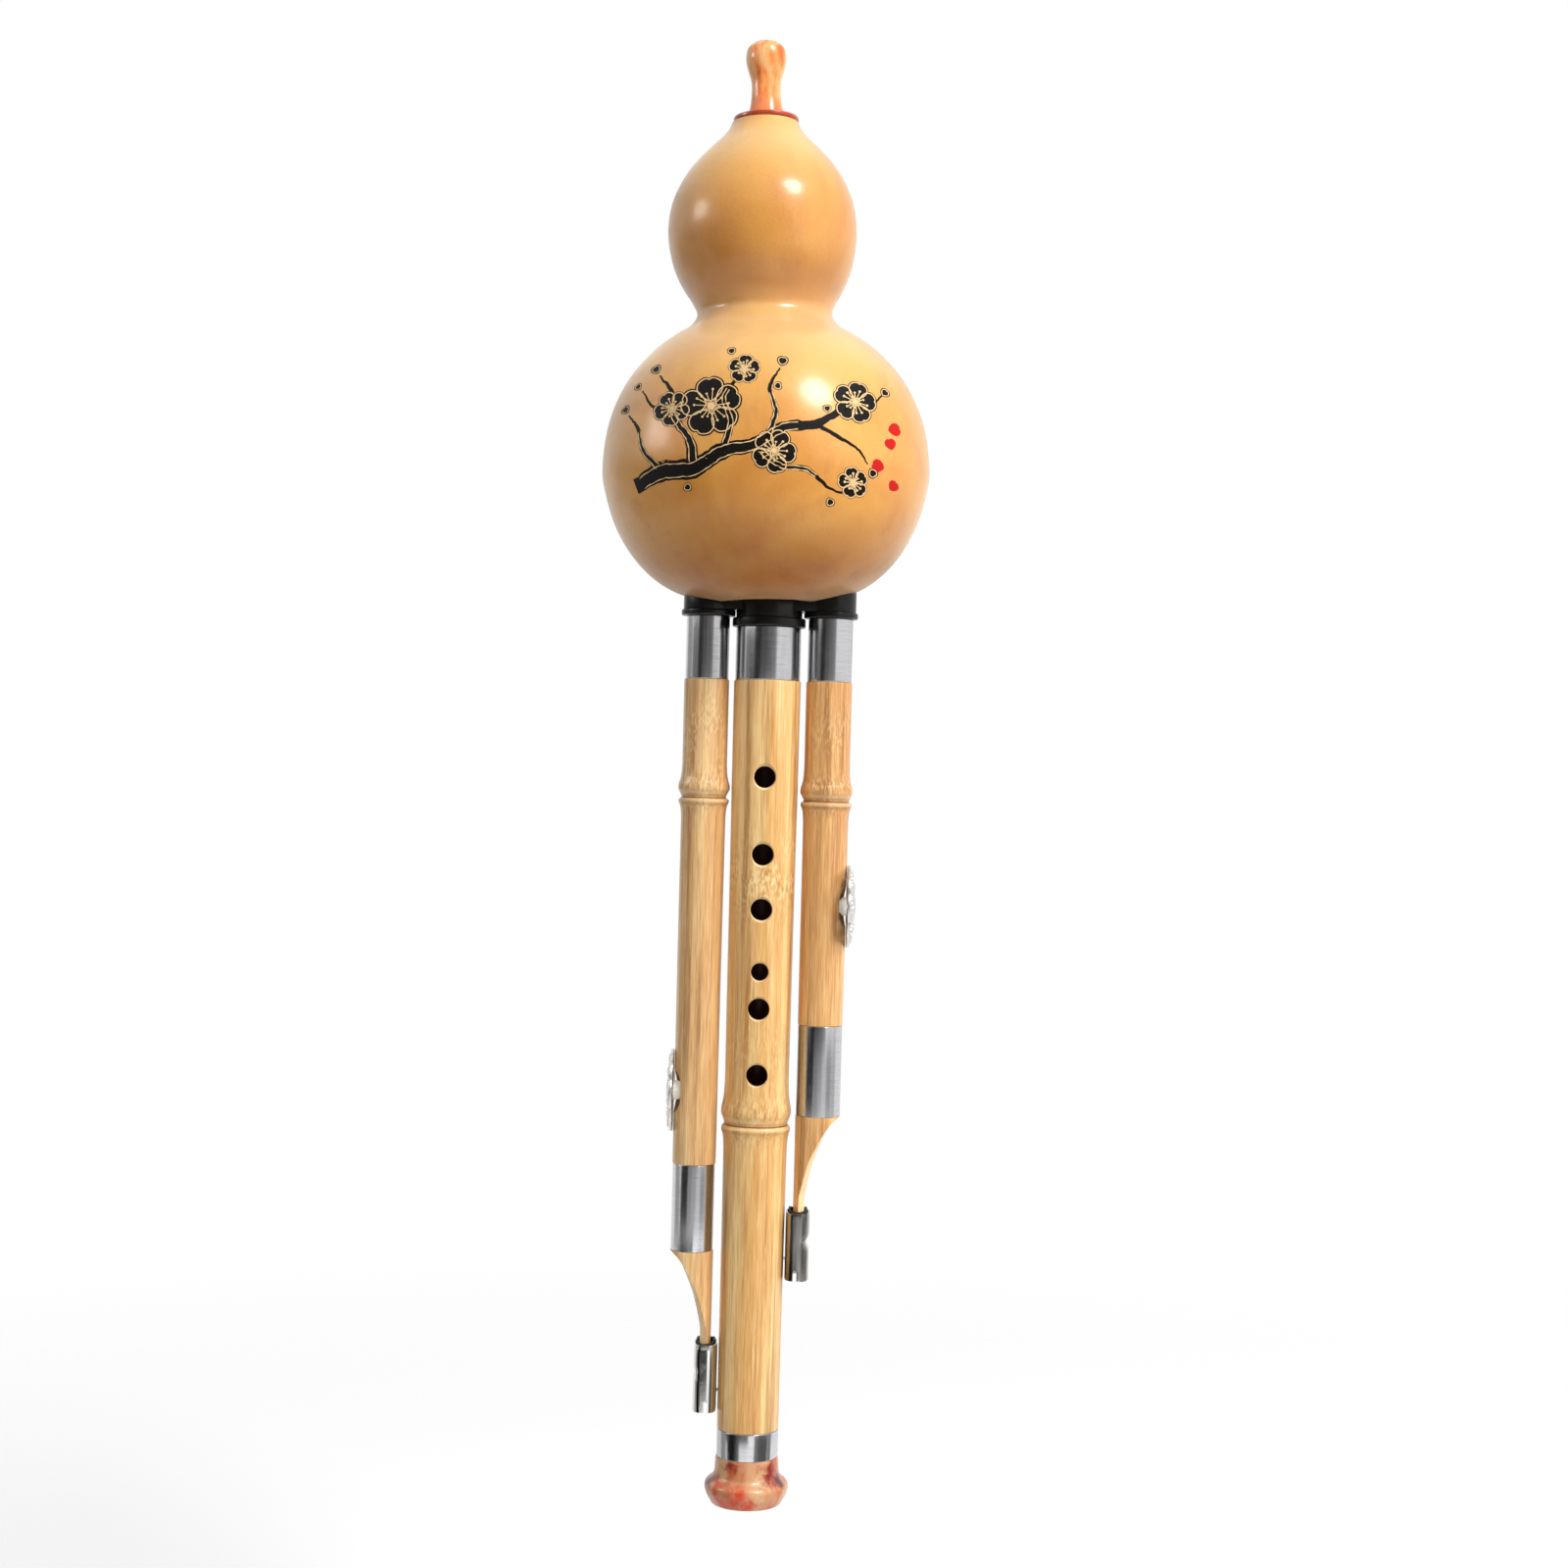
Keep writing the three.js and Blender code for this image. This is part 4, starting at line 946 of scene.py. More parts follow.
class WhorlRecipe(Recipe):
    """Sets copies of a shape in a ring about Z, such as petals, stamens, lobes or beads."""

    name = "whorl"
    inputs = {
        "Count": ("Int", 5), "Ring": ("Float", 0.0), "Turn": ("Float", 0.0), "Sway": ("Float", 0.0),
        "Least": ("Float", 1.0), "Seed": ("Int", 3), "Material": ("Material", None)}

    def lay_out(self) -> Socket:
        """Draws the nodes and gives the geometry."""
        web, given = self.web, self.given
        dots = web.node("GeometryNodeMeshCircle", {}, {"Vertices": given["Count"], "Radius": 1.0})
        dots = web.node("GeometryNodeMeshToPoints", {}, {"Mesh": dots})
        index = web.node("GeometryNodeInputIndex")
        sway = web.node("FunctionNodeRandomValue", {"data_type": "FLOAT"}, {
            2: given["Sway"] * -1, 3: given["Sway"], 7: index, 8: given["Seed"]}, out=1)
        angle = index * (2 * math.pi) / given["Count"] + given["Turn"] + sway
        ring = given["Ring"]
        where = web.node("ShaderNodeCombineXYZ", {}, {
            0: angle.maths("COSINE", angle) * ring, 1: angle.maths("SINE", angle) * ring, 2: 0.0})
        dots = web.node("GeometryNodeSetPosition", {}, {"Geometry": dots, "Position": where})
        size = web.node("FunctionNodeRandomValue", {"data_type": "FLOAT"},
                        {2: given["Least"], 3: 1.0, 7: index, 8: given["Seed"] + 5}, out=1)
        stretch = web.node("ShaderNodeCombineXYZ", {}, {0: size, 1: 1.0, 2: 1.0})
        spin = web.node("ShaderNodeCombineXYZ", {}, {0: 0.0, 1: 0.0, 2: angle})
        return web.node("GeometryNodeInstanceOnPoints", {}, {
            "Points": dots, "Instance": given["Geometry"], "Rotation": spin, "Scale": stretch})


@dataclass
class Gourd:
    """The waisted gourd. It leans to the left on its pipes and is bowed a little at its crown.

    The rows of its outline are shares of the way in height and in radius between two of its sizes.
    """

    top: float = 57.6
    bottom: float = 86.0
    neck: float = 9.9
    crown: float = 28.4
    crown_height: float = 24.7
    waist: float = 20.4
    belly: float = 49.2
    belly_depth: float = 47.6
    flat: float = 0.3
    dimple: float = 1.2
    wall: float = 3.5
    lump: float = 0.11
    bow: float = 1.1
    bow_reach: float = 26.0
    shift: float = 3.4
    lean: float = 1.5
    mouth: float = 6.9
    mouth_depth: float = 14.5
    socket_depth: float = 44.0
    socket_rise: float = 42.0
    sides: int = 128
    under: tuple = ((0.97, 0.18), (0.9, 0.4), (0.79, 0.58), (0.62, 0.75), (0.4, 0.89), (0.17, 0.97))
    swell: tuple = ((0.68, 0.92), (0.42, 0.72), (0.24, 0.46), (0.15, 0.26), (0.08, 0.08))
    bowl: tuple = ((0.15, 0.15), (0.29, 0.41), (0.43, 0.63), (0.64, 0.85))
    shoulder: tuple = ((0.24, 0.95), (0.42, 0.82), (0.58, 0.64), (0.74, 0.38), (0.86, 0.16), (0.95, 0.04))
    finish: Finish = GourdLacquer("gourd_lacquer")

    @property
    def frame(self) -> Matrix:
        """Where the head stands."""
        return Matrix.Translation((-self.shift, 0, 0)) @ Matrix.Rotation(-math.radians(self.lean), 4, "Y")

    def outline(self) -> Outline:
        """The skin from the ring round the dimple up to the neck."""
        flat = self.belly * self.flat
        rows = [(flat, -self.bottom), *between(self.under, (flat, self.belly), (-self.belly_depth, -self.bottom)),
                (self.belly, -self.belly_depth), *between(self.swell, (self.waist, self.belly), (0, -self.belly_depth)),
                (self.waist, 0), *between(self.bowl, (self.waist, self.crown), (0, self.crown_height)),
                (self.crown, self.crown_height),
                *between(self.shoulder, (self.neck, self.crown), (self.crown_height, self.top)), (self.neck, self.top)]
        return smooth(rows, 5)

    def filled(self, grow: float) -> Form:
        """The gourd as a solid with its bow.

        Args:
            grow: How far its skin moves outwards.

        Returns:
            The closed form.
        """
        line = np.array(self.outline())
        ways = np.gradient(line, axis=0)
        ways /= np.linalg.norm(ways, axis=1)[:, None]
        line = line + grow * np.stack([ways[:, 1], -ways[:, 0]], axis=1)
        floor = -self.bottom - grow
        form = lathe([(0, floor + self.dimple), (line[0][0] * 0.45, floor + self.dimple * 0.75),
                      *map(tuple, line), (0, line[-1][1])], self.sides)
        reach = (form.points[:, 2] - self.crown_height) / self.bow_reach
        form.points[:, 0] -= self.bow * np.exp(-reach ** 2)
        return form

    def openings(self, heads: Sequence["PipeHead"]) -> list[Form]:
        """The bars that make the holes for the mouthpiece and for the pipes under these heads."""
        mouth = upright(self.mouth, self.top - self.mouth_depth, self.top + 1, 64).moved(self.frame)
        return [mouth, *(upright(head.bush + FIT, -self.bottom - self.socket_depth, self.socket_rise - self.bottom, 48,
                                 (head.x, 0)) for head in heads)]

    def build(self, heads: Sequence["PipeHead"]) -> Thing:
        """Builds the hollow gourd.

        Args:
            heads: The heads of the pipes that stand in it.

        Returns:
            The gourd.
        """
        skin = self.filled(0)
        x, y, z = skin.points.T
        lumps = self.lump * (np.sin(x / 9 + 1.3) * np.cos(y / 11 + z / 15) + np.sin(z / 7 + y / 17) - 1.2)
        span = np.maximum(np.hypot(x, y), NEAR)
        # the lumps fade towards the neck and the flat underside
        fade = np.clip((self.top - z) / 12, 0, 1) * np.clip((z + self.bottom - 3) / 14, 0, 1)
        skin.points[:, 0] += x / span * lumps * fade
        skin.points[:, 1] += y / span * lumps * fade
        thing = skin.moved(self.frame).thing("gourd_shell")
        carve(thing, [self.filled(-self.wall).moved(self.frame), *self.openings(heads)])
        return dress(thing, self.finish, Body.CHAMBER, "gourd")


@dataclass
class PlumBranch:
    """A plum bough in blossom, carved and inked across the front of the gourd's belly.

    It is the common plum-blossom motif in a layout of its own: flat plates laid on the skin. Its places are
    across and up from the picture's middle. Pairs of edges are shares of a bough's width.
    """

    skin: BVHTree
    middle: Pair = (-4.0, -41.0)
    sink: float = 0.2
    raise_ink: float = 0.03
    raise_line: float = 0.07
    weight: float = 1.3
    seed: int = 11
    ragged: float = 0.22
    wander: float = 0.16
    lined: float = 1.7
    lined_share: float = 0.62
    line_edges: Pair = (-0.36, 0.3)
    black: Finish = Ink("carved_black")
    pale: Finish = Ink("carved_line", tint(236, 200, 146), tint(170, 116, 62))
    red: Finish = Ink("seal_red", tint(190, 24, 22), tint(150, 40, 28))

    # each bough: points of [across, up, width]
    boughs: tuple = (
        ((-35, -15, 3.6), (-27, -11.5, 4.4), (-18, -11, 4.0), (-10, -6.5, 3.6), (-1, -4.5, 3.0), (7, 0.5, 2.6),
         (16, 2.0, 2.0), (24, 7.0, 1.4), (31, 9.0, 0.8), (35, 13, 0.3)),
        ((-18, -11, 2.6), (-19.5, -3, 2.0), (-24, 3.5, 1.5), (-25, 11, 1.0), (-29, 17, 0.35)),
        ((-10, -6.5, 2.0), (-8, 2, 1.5), (-10, 9, 1.1), (-6, 16, 0.7), (-7, 21, 0.3)),
        ((2.5, -2.6, 1.8), (4.6, 5, 1.3), (2.8, 12, 0.9), (5.5, 18, 0.35)),
        ((-1, -4.5, 1.8), (6, -10, 1.3), (14, -11, 1.0), (21, -16, 0.6), (27, -16.5, 0.3)),
        ((-27, -11.5, 1.8), (-33, -5, 1.2), (-35, 2, 0.7), (-38, 6, 0.3)),
        ((16, 2.0, 1.2), (22, -1, 0.9), (28, -4, 0.6), (31, -8, 0.3)),
        ((-24, 3.5, 0.9), (-31, 8, 0.6), (-34, 13, 0.3)))
    # each blossom, bud and fallen petal: across, up, size, turn
    blossoms: tuple = ((-13.5, 6.5, 9.2, 0.4), (4.5, -6.2, 6.6, 1.1), (27, 9.6, 6.6, 0.1), (-24.8, 6.4, 5.6, 0.8),
                       (27, -13.5, 4.6, 0.5), (-4.5, 17.5, 4.8, 0.2))
    buds: tuple = ((34.5, 12.5, 2.6, 0.9), (5.8, 18.2, 2.9, 1.4), (-29.4, 17.4, 2.8, 2.0), (-38, 6.6, 2.5, 2.2),
                   (31.4, -8.8, 2.6, -0.9), (-34.4, 13.4, 2.2, 2.3), (3.4, 12, 2.3, 0.3), (20, -17.8, 2.3, -1.2),
                   (-8.2, 21.6, 2.3, 1.7), (19.4, 5.2, 2.2, 1.8), (-19.6, -14.6, 2.2, -1.6))
    fallen: tuple = ((36.4, 2.6, 2.6, 0.3), (38.2, -3.2, 2.3, 1.9), (36.2, -8.6, 2.5, 2.9), (37.6, -14.4, 2.1, 0.9))
    # half of a petal of size 1 that grows along +X, and the point that smaller ones shrink to
    petal_half: tuple = ((0.1, 0.0), (0.16, 0.13), (0.34, 0.34), (0.58, 0.46), (0.82, 0.42), (0.97, 0.24), (1.0, 0.1),
                         (0.95, 0.0))
    petal_heart: float = 0.56

    def slab(self, flat: Form, low: float, high: float) -> Form:
        """Gives a flat form its thickness.

        Args:
            flat: A form whose points are [across, up, anything].
            low: The height of its underside over the skin.
            high: The height of its top.

        Returns:
            The closed plate, still flat.
        """
        count = len(flat.points)
        edges = {edge: True for face in flat.faces for edge in zip(face, face[1:] + face[:1])}
        rim = [(a, b) for a, b in edges if (b, a) not in edges]
        top, under = flat.points.copy(), flat.points.copy()
        top[:, 2], under[:, 2] = high, low
        faces = list(flat.faces) + [tuple(i + count for i in face[::-1]) for face in flat.faces]
        faces += [(b, a, a + count, b + count) for a, b in rim]
        return Form(np.vstack([top, under]), faces)

    def inked(self, flat: Form) -> Form:
        """A flat form as a plate of ink, sunk in the skin."""
        return self.slab(flat, -self.sink, self.raise_ink)

    def scored(self, flat: Form) -> Form:
        """A flat form as a pale line on the ink."""
        return self.slab(flat, self.raise_ink * 0.3, self.raise_line)

    def sideways(self, line: np.ndarray) -> np.ndarray:
        """The ways across a flat line, to its left, each of length 1."""
        ways = np.gradient(line, axis=0)
        ways /= np.maximum(np.linalg.norm(ways, axis=1), NEAR)[:, None]
        return np.stack([-ways[:, 1], ways[:, 0]], axis=1)

    def ribbon(self, path: Rows, widths: Sequence[float], across: int = 1) -> Form:
        """A flat strip along a path.

        Args:
            path: Its points.
            widths: Its width at each of them.
            across: How many faces lie side by side.

        Returns:
            The strip.
        """
        line = np.array(path, dtype=float)[:, :2]
        points = [(*(spot + side * width * (step / across - 0.5)), 0)
                  for spot, side, width in zip(line, self.sideways(line), widths) for step in range(across + 1)]
        row = across + 1
        faces = [(i * row + j, (i + 1) * row + j, (i + 1) * row + j + 1, i * row + j + 1)
                 for i in range(len(line) - 1) for j in range(across)]
        return self.upward(Form(np.array(points), faces))

    def upward(self, flat: Form) -> Form:
        """Turns the faces of a flat form to face up."""
        faces = []
        for face in flat.faces:
            ring = flat.points[list(face), :2]
            area = sum(a[0] * b[1] - b[0] * a[1] for a, b in zip(ring, np.roll(ring, -1, axis=0)))
            faces.append(face if area > 0 else face[::-1])
        return Form(flat.points, faces)

    def leaf(self, outline: Rows, rings: int = 4) -> Form:
        """A flat form filled from its middle to its outline.

        Args:
            outline: The outline.
            rings: How many rings of faces fill it.

        Returns:
            The form.
        """
        line = np.array(outline, dtype=float)[:, :2]
        heart = line.mean(axis=0)
        points = [(*heart, 0)]
        for ring in range(1, rings + 1):
            points.extend((*(heart + (spot - heart) * ring / rings), 0) for spot in line)
        count = len(line)
        faces: list[tuple[int, ...]] = [(0, 1 + i, 1 + (i + 1) % count) for i in range(count)]
        for start in range(1, 1 + (rings - 1) * count, count):
            faces += [(start + i, start + count + i, start + count + (i + 1) % count, start + (i + 1) % count)
                      for i in range(count)]
        return self.upward(Form(np.array(points), faces))

    def disc(self, x: float, y: float, radius: float, sides: int, rings: int) -> Form:
        """A flat disc round a point."""
        turns = np.linspace(0, 2 * math.pi, sides, endpoint=False)
        return self.leaf([(x + radius * math.cos(turn), y + radius * math.sin(turn)) for turn in turns], rings)

    def petal(self, size: float, share: float = 1.0) -> Outline:
        """A notched petal that grows from the origin along +X, shrunk towards its middle by a share."""
        half, heart = smooth(self.petal_half, 3), self.petal_heart
        ring = half + [(x, -y) for x, y in half[-2:0:-1]]
        return [((heart + (x - heart) * share) * size, y * share * size) for x, y in ring]

    def rim(self, size: float, share: float, width: float) -> Form:
        """A line round a petal."""
        line = self.petal(size, share)
        return self.ribbon([*line, line[0]], [width] * (len(line) + 1))

    def placed(self, flat: Form, place: Sequence[float]) -> Form:
        """Turns a flat form and moves it to its place of [across, up, size, turn]."""
        x, y, z = flat.points.T
        c, s = math.cos(place[3]), math.sin(place[3])
        return Form(np.stack([place[0] + x * c - y * s, place[1] + x * s + y * c, z], axis=1), flat.faces)

    def laid(self, flat: Form) -> Form:
        """Lays a flat plate on the gourd's front, its right still on the viewer's right."""
        points = []
        for across, up, rise in flat.points:
            start = Vector((across + self.middle[0], -200, up + self.middle[1])) * MM
            spot, normal, _, _ = self.skin.ray_cast(start, Vector((0, 1, 0)))
            points.append(tuple((spot / MM) + normal * rise))
        return Form(np.array(points), flat.faces)

    def whorl(self, element: Form, place: Sequence[float], recipe: WhorlRecipe, **values: Any) -> Form:
        """A ring of flat elements, made by the whorl recipe and read back flat.

        Args:
            element: The element, which grows along +X.
            place: The ring's place: across, up, size and turn.
            recipe: The whorl recipe.
            values: Its named inputs.

        Returns:
            The ring at its place.
        """
        thing = recipe.apply(element.thing("whorl_element"), {
            "Turn": place[3] + values.pop("Turn", 0.0), "Material": self.black.material(), **values})
        ring = Form.read(thing.data)
        bpy.data.objects.remove(thing)
        return Form(ring.points + np.array([place[0], place[1], 0]), ring.faces)

    def bough(self, rows: Rows, rng: np.random.Generator) -> tuple[Form, list[Form]]:
        """Draws a bough with a ragged edge, and where it is thick two lines along it.

        Args:
            rows: Its points of [across, up, width].
            rng: What its raggedness is drawn from.

        Returns:
            The ink and the lines.
        """
        path = np.array(smooth(rows, 9))
        rough = 1 + self.ragged * np.convolve(rng.uniform(-1, 1, len(path) + 2), np.ones(3) / 3, "valid")
        path[1:-1, :2] += rng.uniform(-self.wander, self.wander, (len(path) - 2, 2))
        path[:, 2] *= self.weight
        ink = self.inked(self.ribbon(path, path[:, 2] * rough, 4))
        if rows[0][2] <= self.lined:
            return ink, []
        last = int(len(path) * self.lined_share)
        widths = 0.1 + 0.24 * np.abs(np.sin(np.arange(last - 2) * 0.9))
        across = self.sideways(path[:, :2]) * path[:, 2:]
        lines = [(path[:, :2] + across * edge)[2:last] for edge in self.line_edges]
        return ink, [self.scored(self.ribbon(line, widths)) for line in lines]

    def blossom(self, place: Sequence[float], recipe: WhorlRecipe) -> tuple[Form, list[Form]]:
        """Draws a blossom: five petals with their rims, fifteen stamens and the heart.

        Args:
            place: Its place: across, up, size and turn.
            recipe: The whorl recipe.

        Returns:
            The ink and the lines.
        """
        five = {"Count": 5, "Least": 0.94, "Sway": 0.07}
        size = place[2]
        stamen = self.ribbon([(0.1 * size + 0.4 * size * i / 6, 0) for i in range(7)], [0.22] * 7)
        stamen = self.scored(stamen).plus(self.scored(self.disc(0.54 * size, 0, 0.36, 8, 1)))
        return (self.whorl(self.inked(self.leaf(self.petal(size))), place, recipe, **five),
                [self.whorl(self.scored(self.rim(size, 0.86, 0.3)), place, recipe, **five),
                 self.whorl(stamen, place, recipe, Count=15, Least=0.62, Sway=0.12, Turn=0.2),
                 self.scored(self.disc(place[0], place[1], 0.12 * size, 12, 2))])

    def bud(self, place: Sequence[float]) -> tuple[Form, list[Form]]:
        """Draws a bud as one petal with its rim, and gives the ink and the line."""
        size = place[2] * 1.25
        return (self.inked(self.placed(self.leaf(self.petal(size)), place)),
                [self.scored(self.placed(self.rim(size, 0.72, 0.24), place))])

    def build(self) -> None:
        """Builds the inked shapes, the pale lines scratched in them, and the red petals."""
        rng, recipe = np.random.default_rng(self.seed), WhorlRecipe()
        drawn = [self.bough(rows, rng) for rows in self.boughs]
        drawn += [self.blossom(place, recipe) for place in self.blossoms]
        drawn += [self.bud(place) for place in self.buds]
        red = [self.inked(self.placed(self.leaf(self.petal(place[2] * 1.6)), place)) for place in self.fallen]
        for name, forms, finish in (("plum_branch_ink", [ink for ink, _ in drawn], self.black),
                                    ("plum_branch_lines", [line for _, lines in drawn for line in lines], self.pale),
                                    ("plum_petals_red", red, self.red)):
            dress(joined(self.laid(form) for form in forms).thing(name), finish, Body.CHAMBER)


@dataclass
class Mouthpiece:
    """The turned resin blowing end, with its flange on the gourd's neck.

    The rows of its outline are shares of the way in height and in radius between two of its sizes.
    """

    gourd: Gourd
    height: float = 23.7
    flange_radius: float = 9.75
    flange: float = 1.3
    foot: float = 5.7
    waist: float = 4.45
    bulb: float = 6.05
    lip: float = 3.7
    bore: float = 2.2
    spigot_radius: float = 4.6
    spigot: float = 13.0
    stem: tuple = ((0, 1), (0.12, 0.4), (0.28, 0))
    swell: tuple = ((0.48, 0), (0.62, 0.55), (0.72, 0.9), (0.82, 1))
    tip: tuple = ((0.93, 0.75), (1, 0))
    finish: Finish = Marble("mouthpiece_resin", upright=0.2, share=-0.15, scale=0.75, dark_below=59.2)

    def build(self) -> Thing:
        """Turns the mouthpiece and stands it on the gourd."""
        low = self.gourd.top + FIT
        base, end = low + self.flange, low + self.height
        skin = smooth(between(self.stem, (self.waist, self.foot), (base, end))
                      + between(self.swell, (self.waist, self.bulb), (base, end))
                      + between(self.tip, (self.lip, self.bulb), (base, end)), 6)
        outline = [(self.bore, low - self.spigot), (self.spigot_radius, low - self.spigot), (self.spigot_radius, low),
                   (self.flange_radius, low), (self.flange_radius, base), *skin, (self.bore, end)]
        thing = lathe(eased(outline, 0.4, 4), 80).moved(self.gourd.frame).thing("mouthpiece_turned")
        return dress(thing, self.finish, Body.CHAMBER, "mouthpiece")


@dataclass(kw_only=True)
class PipeHead:
    """What tops each pipe: the collar in the saddle, the steel sleeve, the tenon, its seal and its cap."""

    name: str
    body: Body
    x: float
    top: float
    turn: float
    flange_radius: float
    flange: float
    bush: float
    bush_top: float = -80.0
    tenon: float
    tenon_bore: float
    tenon_wall: float
    above: float
    shoulder: float
    spigot: float
    seal: float
    seal_inner: float
    seal_height: float
    seal_share: float = 0.16
    sleeve: float
    sleeve_wall: float
    sleeve_length: float
    bore: float
    reed_width: float
    reed_length: float
    reed_flat: float
    sides: int
    tenon_sides: int = 56

    @property
    def frame(self) -> Matrix:
        """Where the pipe hangs: the origin is in the middle of its collar's underside."""
        return Matrix.Translation((self.x, 0, self.top)) @ Matrix.Rotation(self.turn, 4, "Z")

    @property
    def rebate(self) -> float:
        """The radius of what goes inside the sleeve."""
        return self.sleeve - self.sleeve_wall - FIT

    @property
    def seal_low(self) -> float:
        """The seal's underside."""
        return self.above * self.seal_share

    def fit(self, form: Form, piece: str, finish: Finish, node: str, body: Body | None = None,
            cutters: Sequence[Form] = ()) -> None:
        """Hangs a turned form on the pipe's axis, cuts it and dresses it.

        Args:
            form: The form.
            piece: The piece's name after the pipe's.
            finish: Its finish.
            node: The name, after the pipe's, of the CAD node it replaces.
            body: The body that it moves with, if not the pipe's.
            cutters: The forms that are cut out of it.
        """
        thing = form.moved(self.frame).thing(f"{self.name}_{piece}")
        if cutters:
            carve(thing, [cutter.moved(self.frame) for cutter in cutters])
        dress(thing, finish, body or self.body, f"{self.name}_{node}")

    def collar(self) -> None:
        """The flanged black bush in the saddle."""
        bore, high = self.seal + FIT / 2, self.bush_top - self.top
        outline = [(bore, 0), (self.flange_radius, 0), (self.flange_radius, self.flange), (self.bush, self.flange),
                   (self.bush, high), (bore, high)]
        self.fit(lathe(eased(outline, 0.55, 4), self.sides), "collar_bush", BLACK, "collar", Body.CHAMBER)

    def tenon_tube(self) -> None:
        """The tube that carries the reed up into the gourd, with its flat, its window and its seal's groove."""
        floor = -SEAT - self.shoulder
        spigot, spigot_bore = self.bore - FIT, self.bore - FIT - self.tenon_wall
        groove = self.seal_inner - FIT / 2
        low = self.seal_low - FIT
        high = low + self.seal_height + FIT * 2
        outline = [(spigot_bore, floor - self.spigot), (spigot, floor - self.spigot), (spigot, floor),
                   (self.rebate, floor), (self.rebate, -SEAT), (self.tenon, -SEAT), (self.tenon, low), (groove, low),
                   (groove, high), (self.tenon, high), (self.tenon, self.above), (self.tenon_bore, self.above),
                   (self.tenon_bore, -SEAT), (spigot_bore, floor)]
        flat_low, past = self.above - self.reed_length - SEAT, self.tenon + 1
        inset, half = self.reed_length / 8, self.reed_width / 3
        flat = box((-past, -past, flat_low), (past, -self.reed_flat, self.above + 1))
        window = box((-half, -past, flat_low + inset), (half, 0, self.above - inset))
        self.fit(lathe(eased(outline, 0.18, 3), self.tenon_sides), "tenon_tube", IVORY, "tenon",
                 cutters=(flat, window))

    def cap(self) -> None:
        """The stepped cap that closes the tenon."""
        low, wall, inner = self.above + SEAT, self.tenon_wall, self.tenon_bore - FIT
        outline = [(0, low - wall * 3), (inner, low - wall * 3), (inner, low), (self.tenon, low),
                   (self.tenon, low + wall), (self.tenon - wall, low + wall * 2), (0, low + wall * 2)]
        self.fit(lathe(eased(outline, 0.3, 3), self.tenon_sides), "cap_turned", IVORY, "reed_cap")

    def build(self) -> None:
        """Builds the pieces at the pipe's top and dresses the reed."""
        self.collar()
        sleeve = tube(self.sleeve, self.sleeve - self.sleeve_wall, -SEAT - self.sleeve_length, -SEAT, self.sides, 0.26)
        self.fit(sleeve, "sleeve_tube", STEEL, "sleeve")
        self.tenon_tube()
        seal = tube(self.seal, self.seal_inner, self.seal_low, self.seal_low + self.seal_height, self.tenon_sides,
                    0.45, 5)
        self.fit(seal, "seal_ring", RUBBER, "seal")
        self.cap()
        keep(f"{self.name}_reed", BRASS)


@dataclass
class Saddle:
    """The black moulded saddle under the gourd, with a boss for each pipe and a bridge between."""

    gourd: Gourd
    pipes: Sequence[PipeHead]
    side_radius: float = 7.5
    main_radius: float = 9.9
    bridge: float = 6.0
    side_drop: float = 2.5
    main_drop: float = 4.6
    rise: float = 10.0

    def build(self) -> Thing:
        """Builds the saddle, bedded on the gourd."""
        top = -self.gourd.bottom + self.rise
        side_floor, main_floor = -self.gourd.bottom - self.side_drop, -self.gourd.bottom - self.main_drop
        _, left, right = self.pipes
        thing = upright(self.main_radius, main_floor, top, 72).thing("saddle_moulded")
        carve(thing, [upright(self.side_radius, side_floor, top, 64, (pipe.x, 0)) for pipe in (left, right)]
              + [box((left.x, -self.bridge, side_floor), (right.x, self.bridge, top))], "UNION")
        carve(thing, [self.gourd.filled(FIT).moved(self.gourd.frame)]
              + [upright(pipe.bush + FIT, main_floor - 1, top + 1, 64, (pipe.x, 0)) for pipe in self.pipes])
        soften(thing, 0.4, 3)
        return dress(thing, BLACK, Body.CHAMBER, "pipe_base")


@dataclass
class DrillHole:
    """A hole drilled across a culm: its height in the pipe's frame, its radius and its way round."""

    height: float
    radius: float
    way: float = 0.0


def drill_bit(reach: float, skin: float) -> Form:
    """A bit along +X of radius 1 that widens as it leaves the skin."""
    flare = ((1, -1.1), (1.03, -0.8), (1.1, -0.55), (1.2, -0.2), (1.24, -0.05), (1.4, 0.6))
    outline = [(0, 0), (1, 0), *((wide, skin + past) for wide, past in flare), (flare[-1][0], reach), (0, reach)]
    return along_x(lathe(outline, 40))


def drill_points(pipe: PipeHead, holes: Sequence[DrillHole]) -> Thing:
    """Makes the points at which the culm recipe sets its bits, with each bit's aim and size.

    Args:
        pipe: The head that the culm hangs in.
        holes: The holes.

    Returns:
        An object that has only the points.
    """
    mesh = bpy.data.meshes.new("drill_points")
    mesh.from_pydata([tuple(pipe.frame @ Vector((0, 0, hole.height)) * MM) for hole in holes], [], [])
    aim = mesh.attributes.new("aim", "FLOAT_VECTOR", "POINT")
    size = mesh.attributes.new("size", "FLOAT_VECTOR", "POINT")
    for i, hole in enumerate(holes):
        aim.data[i].vector = (0, 0, pipe.turn + hole.way)
        size.data[i].vector = (1, hole.radius, hole.radius)
    return put("drill_points", mesh)


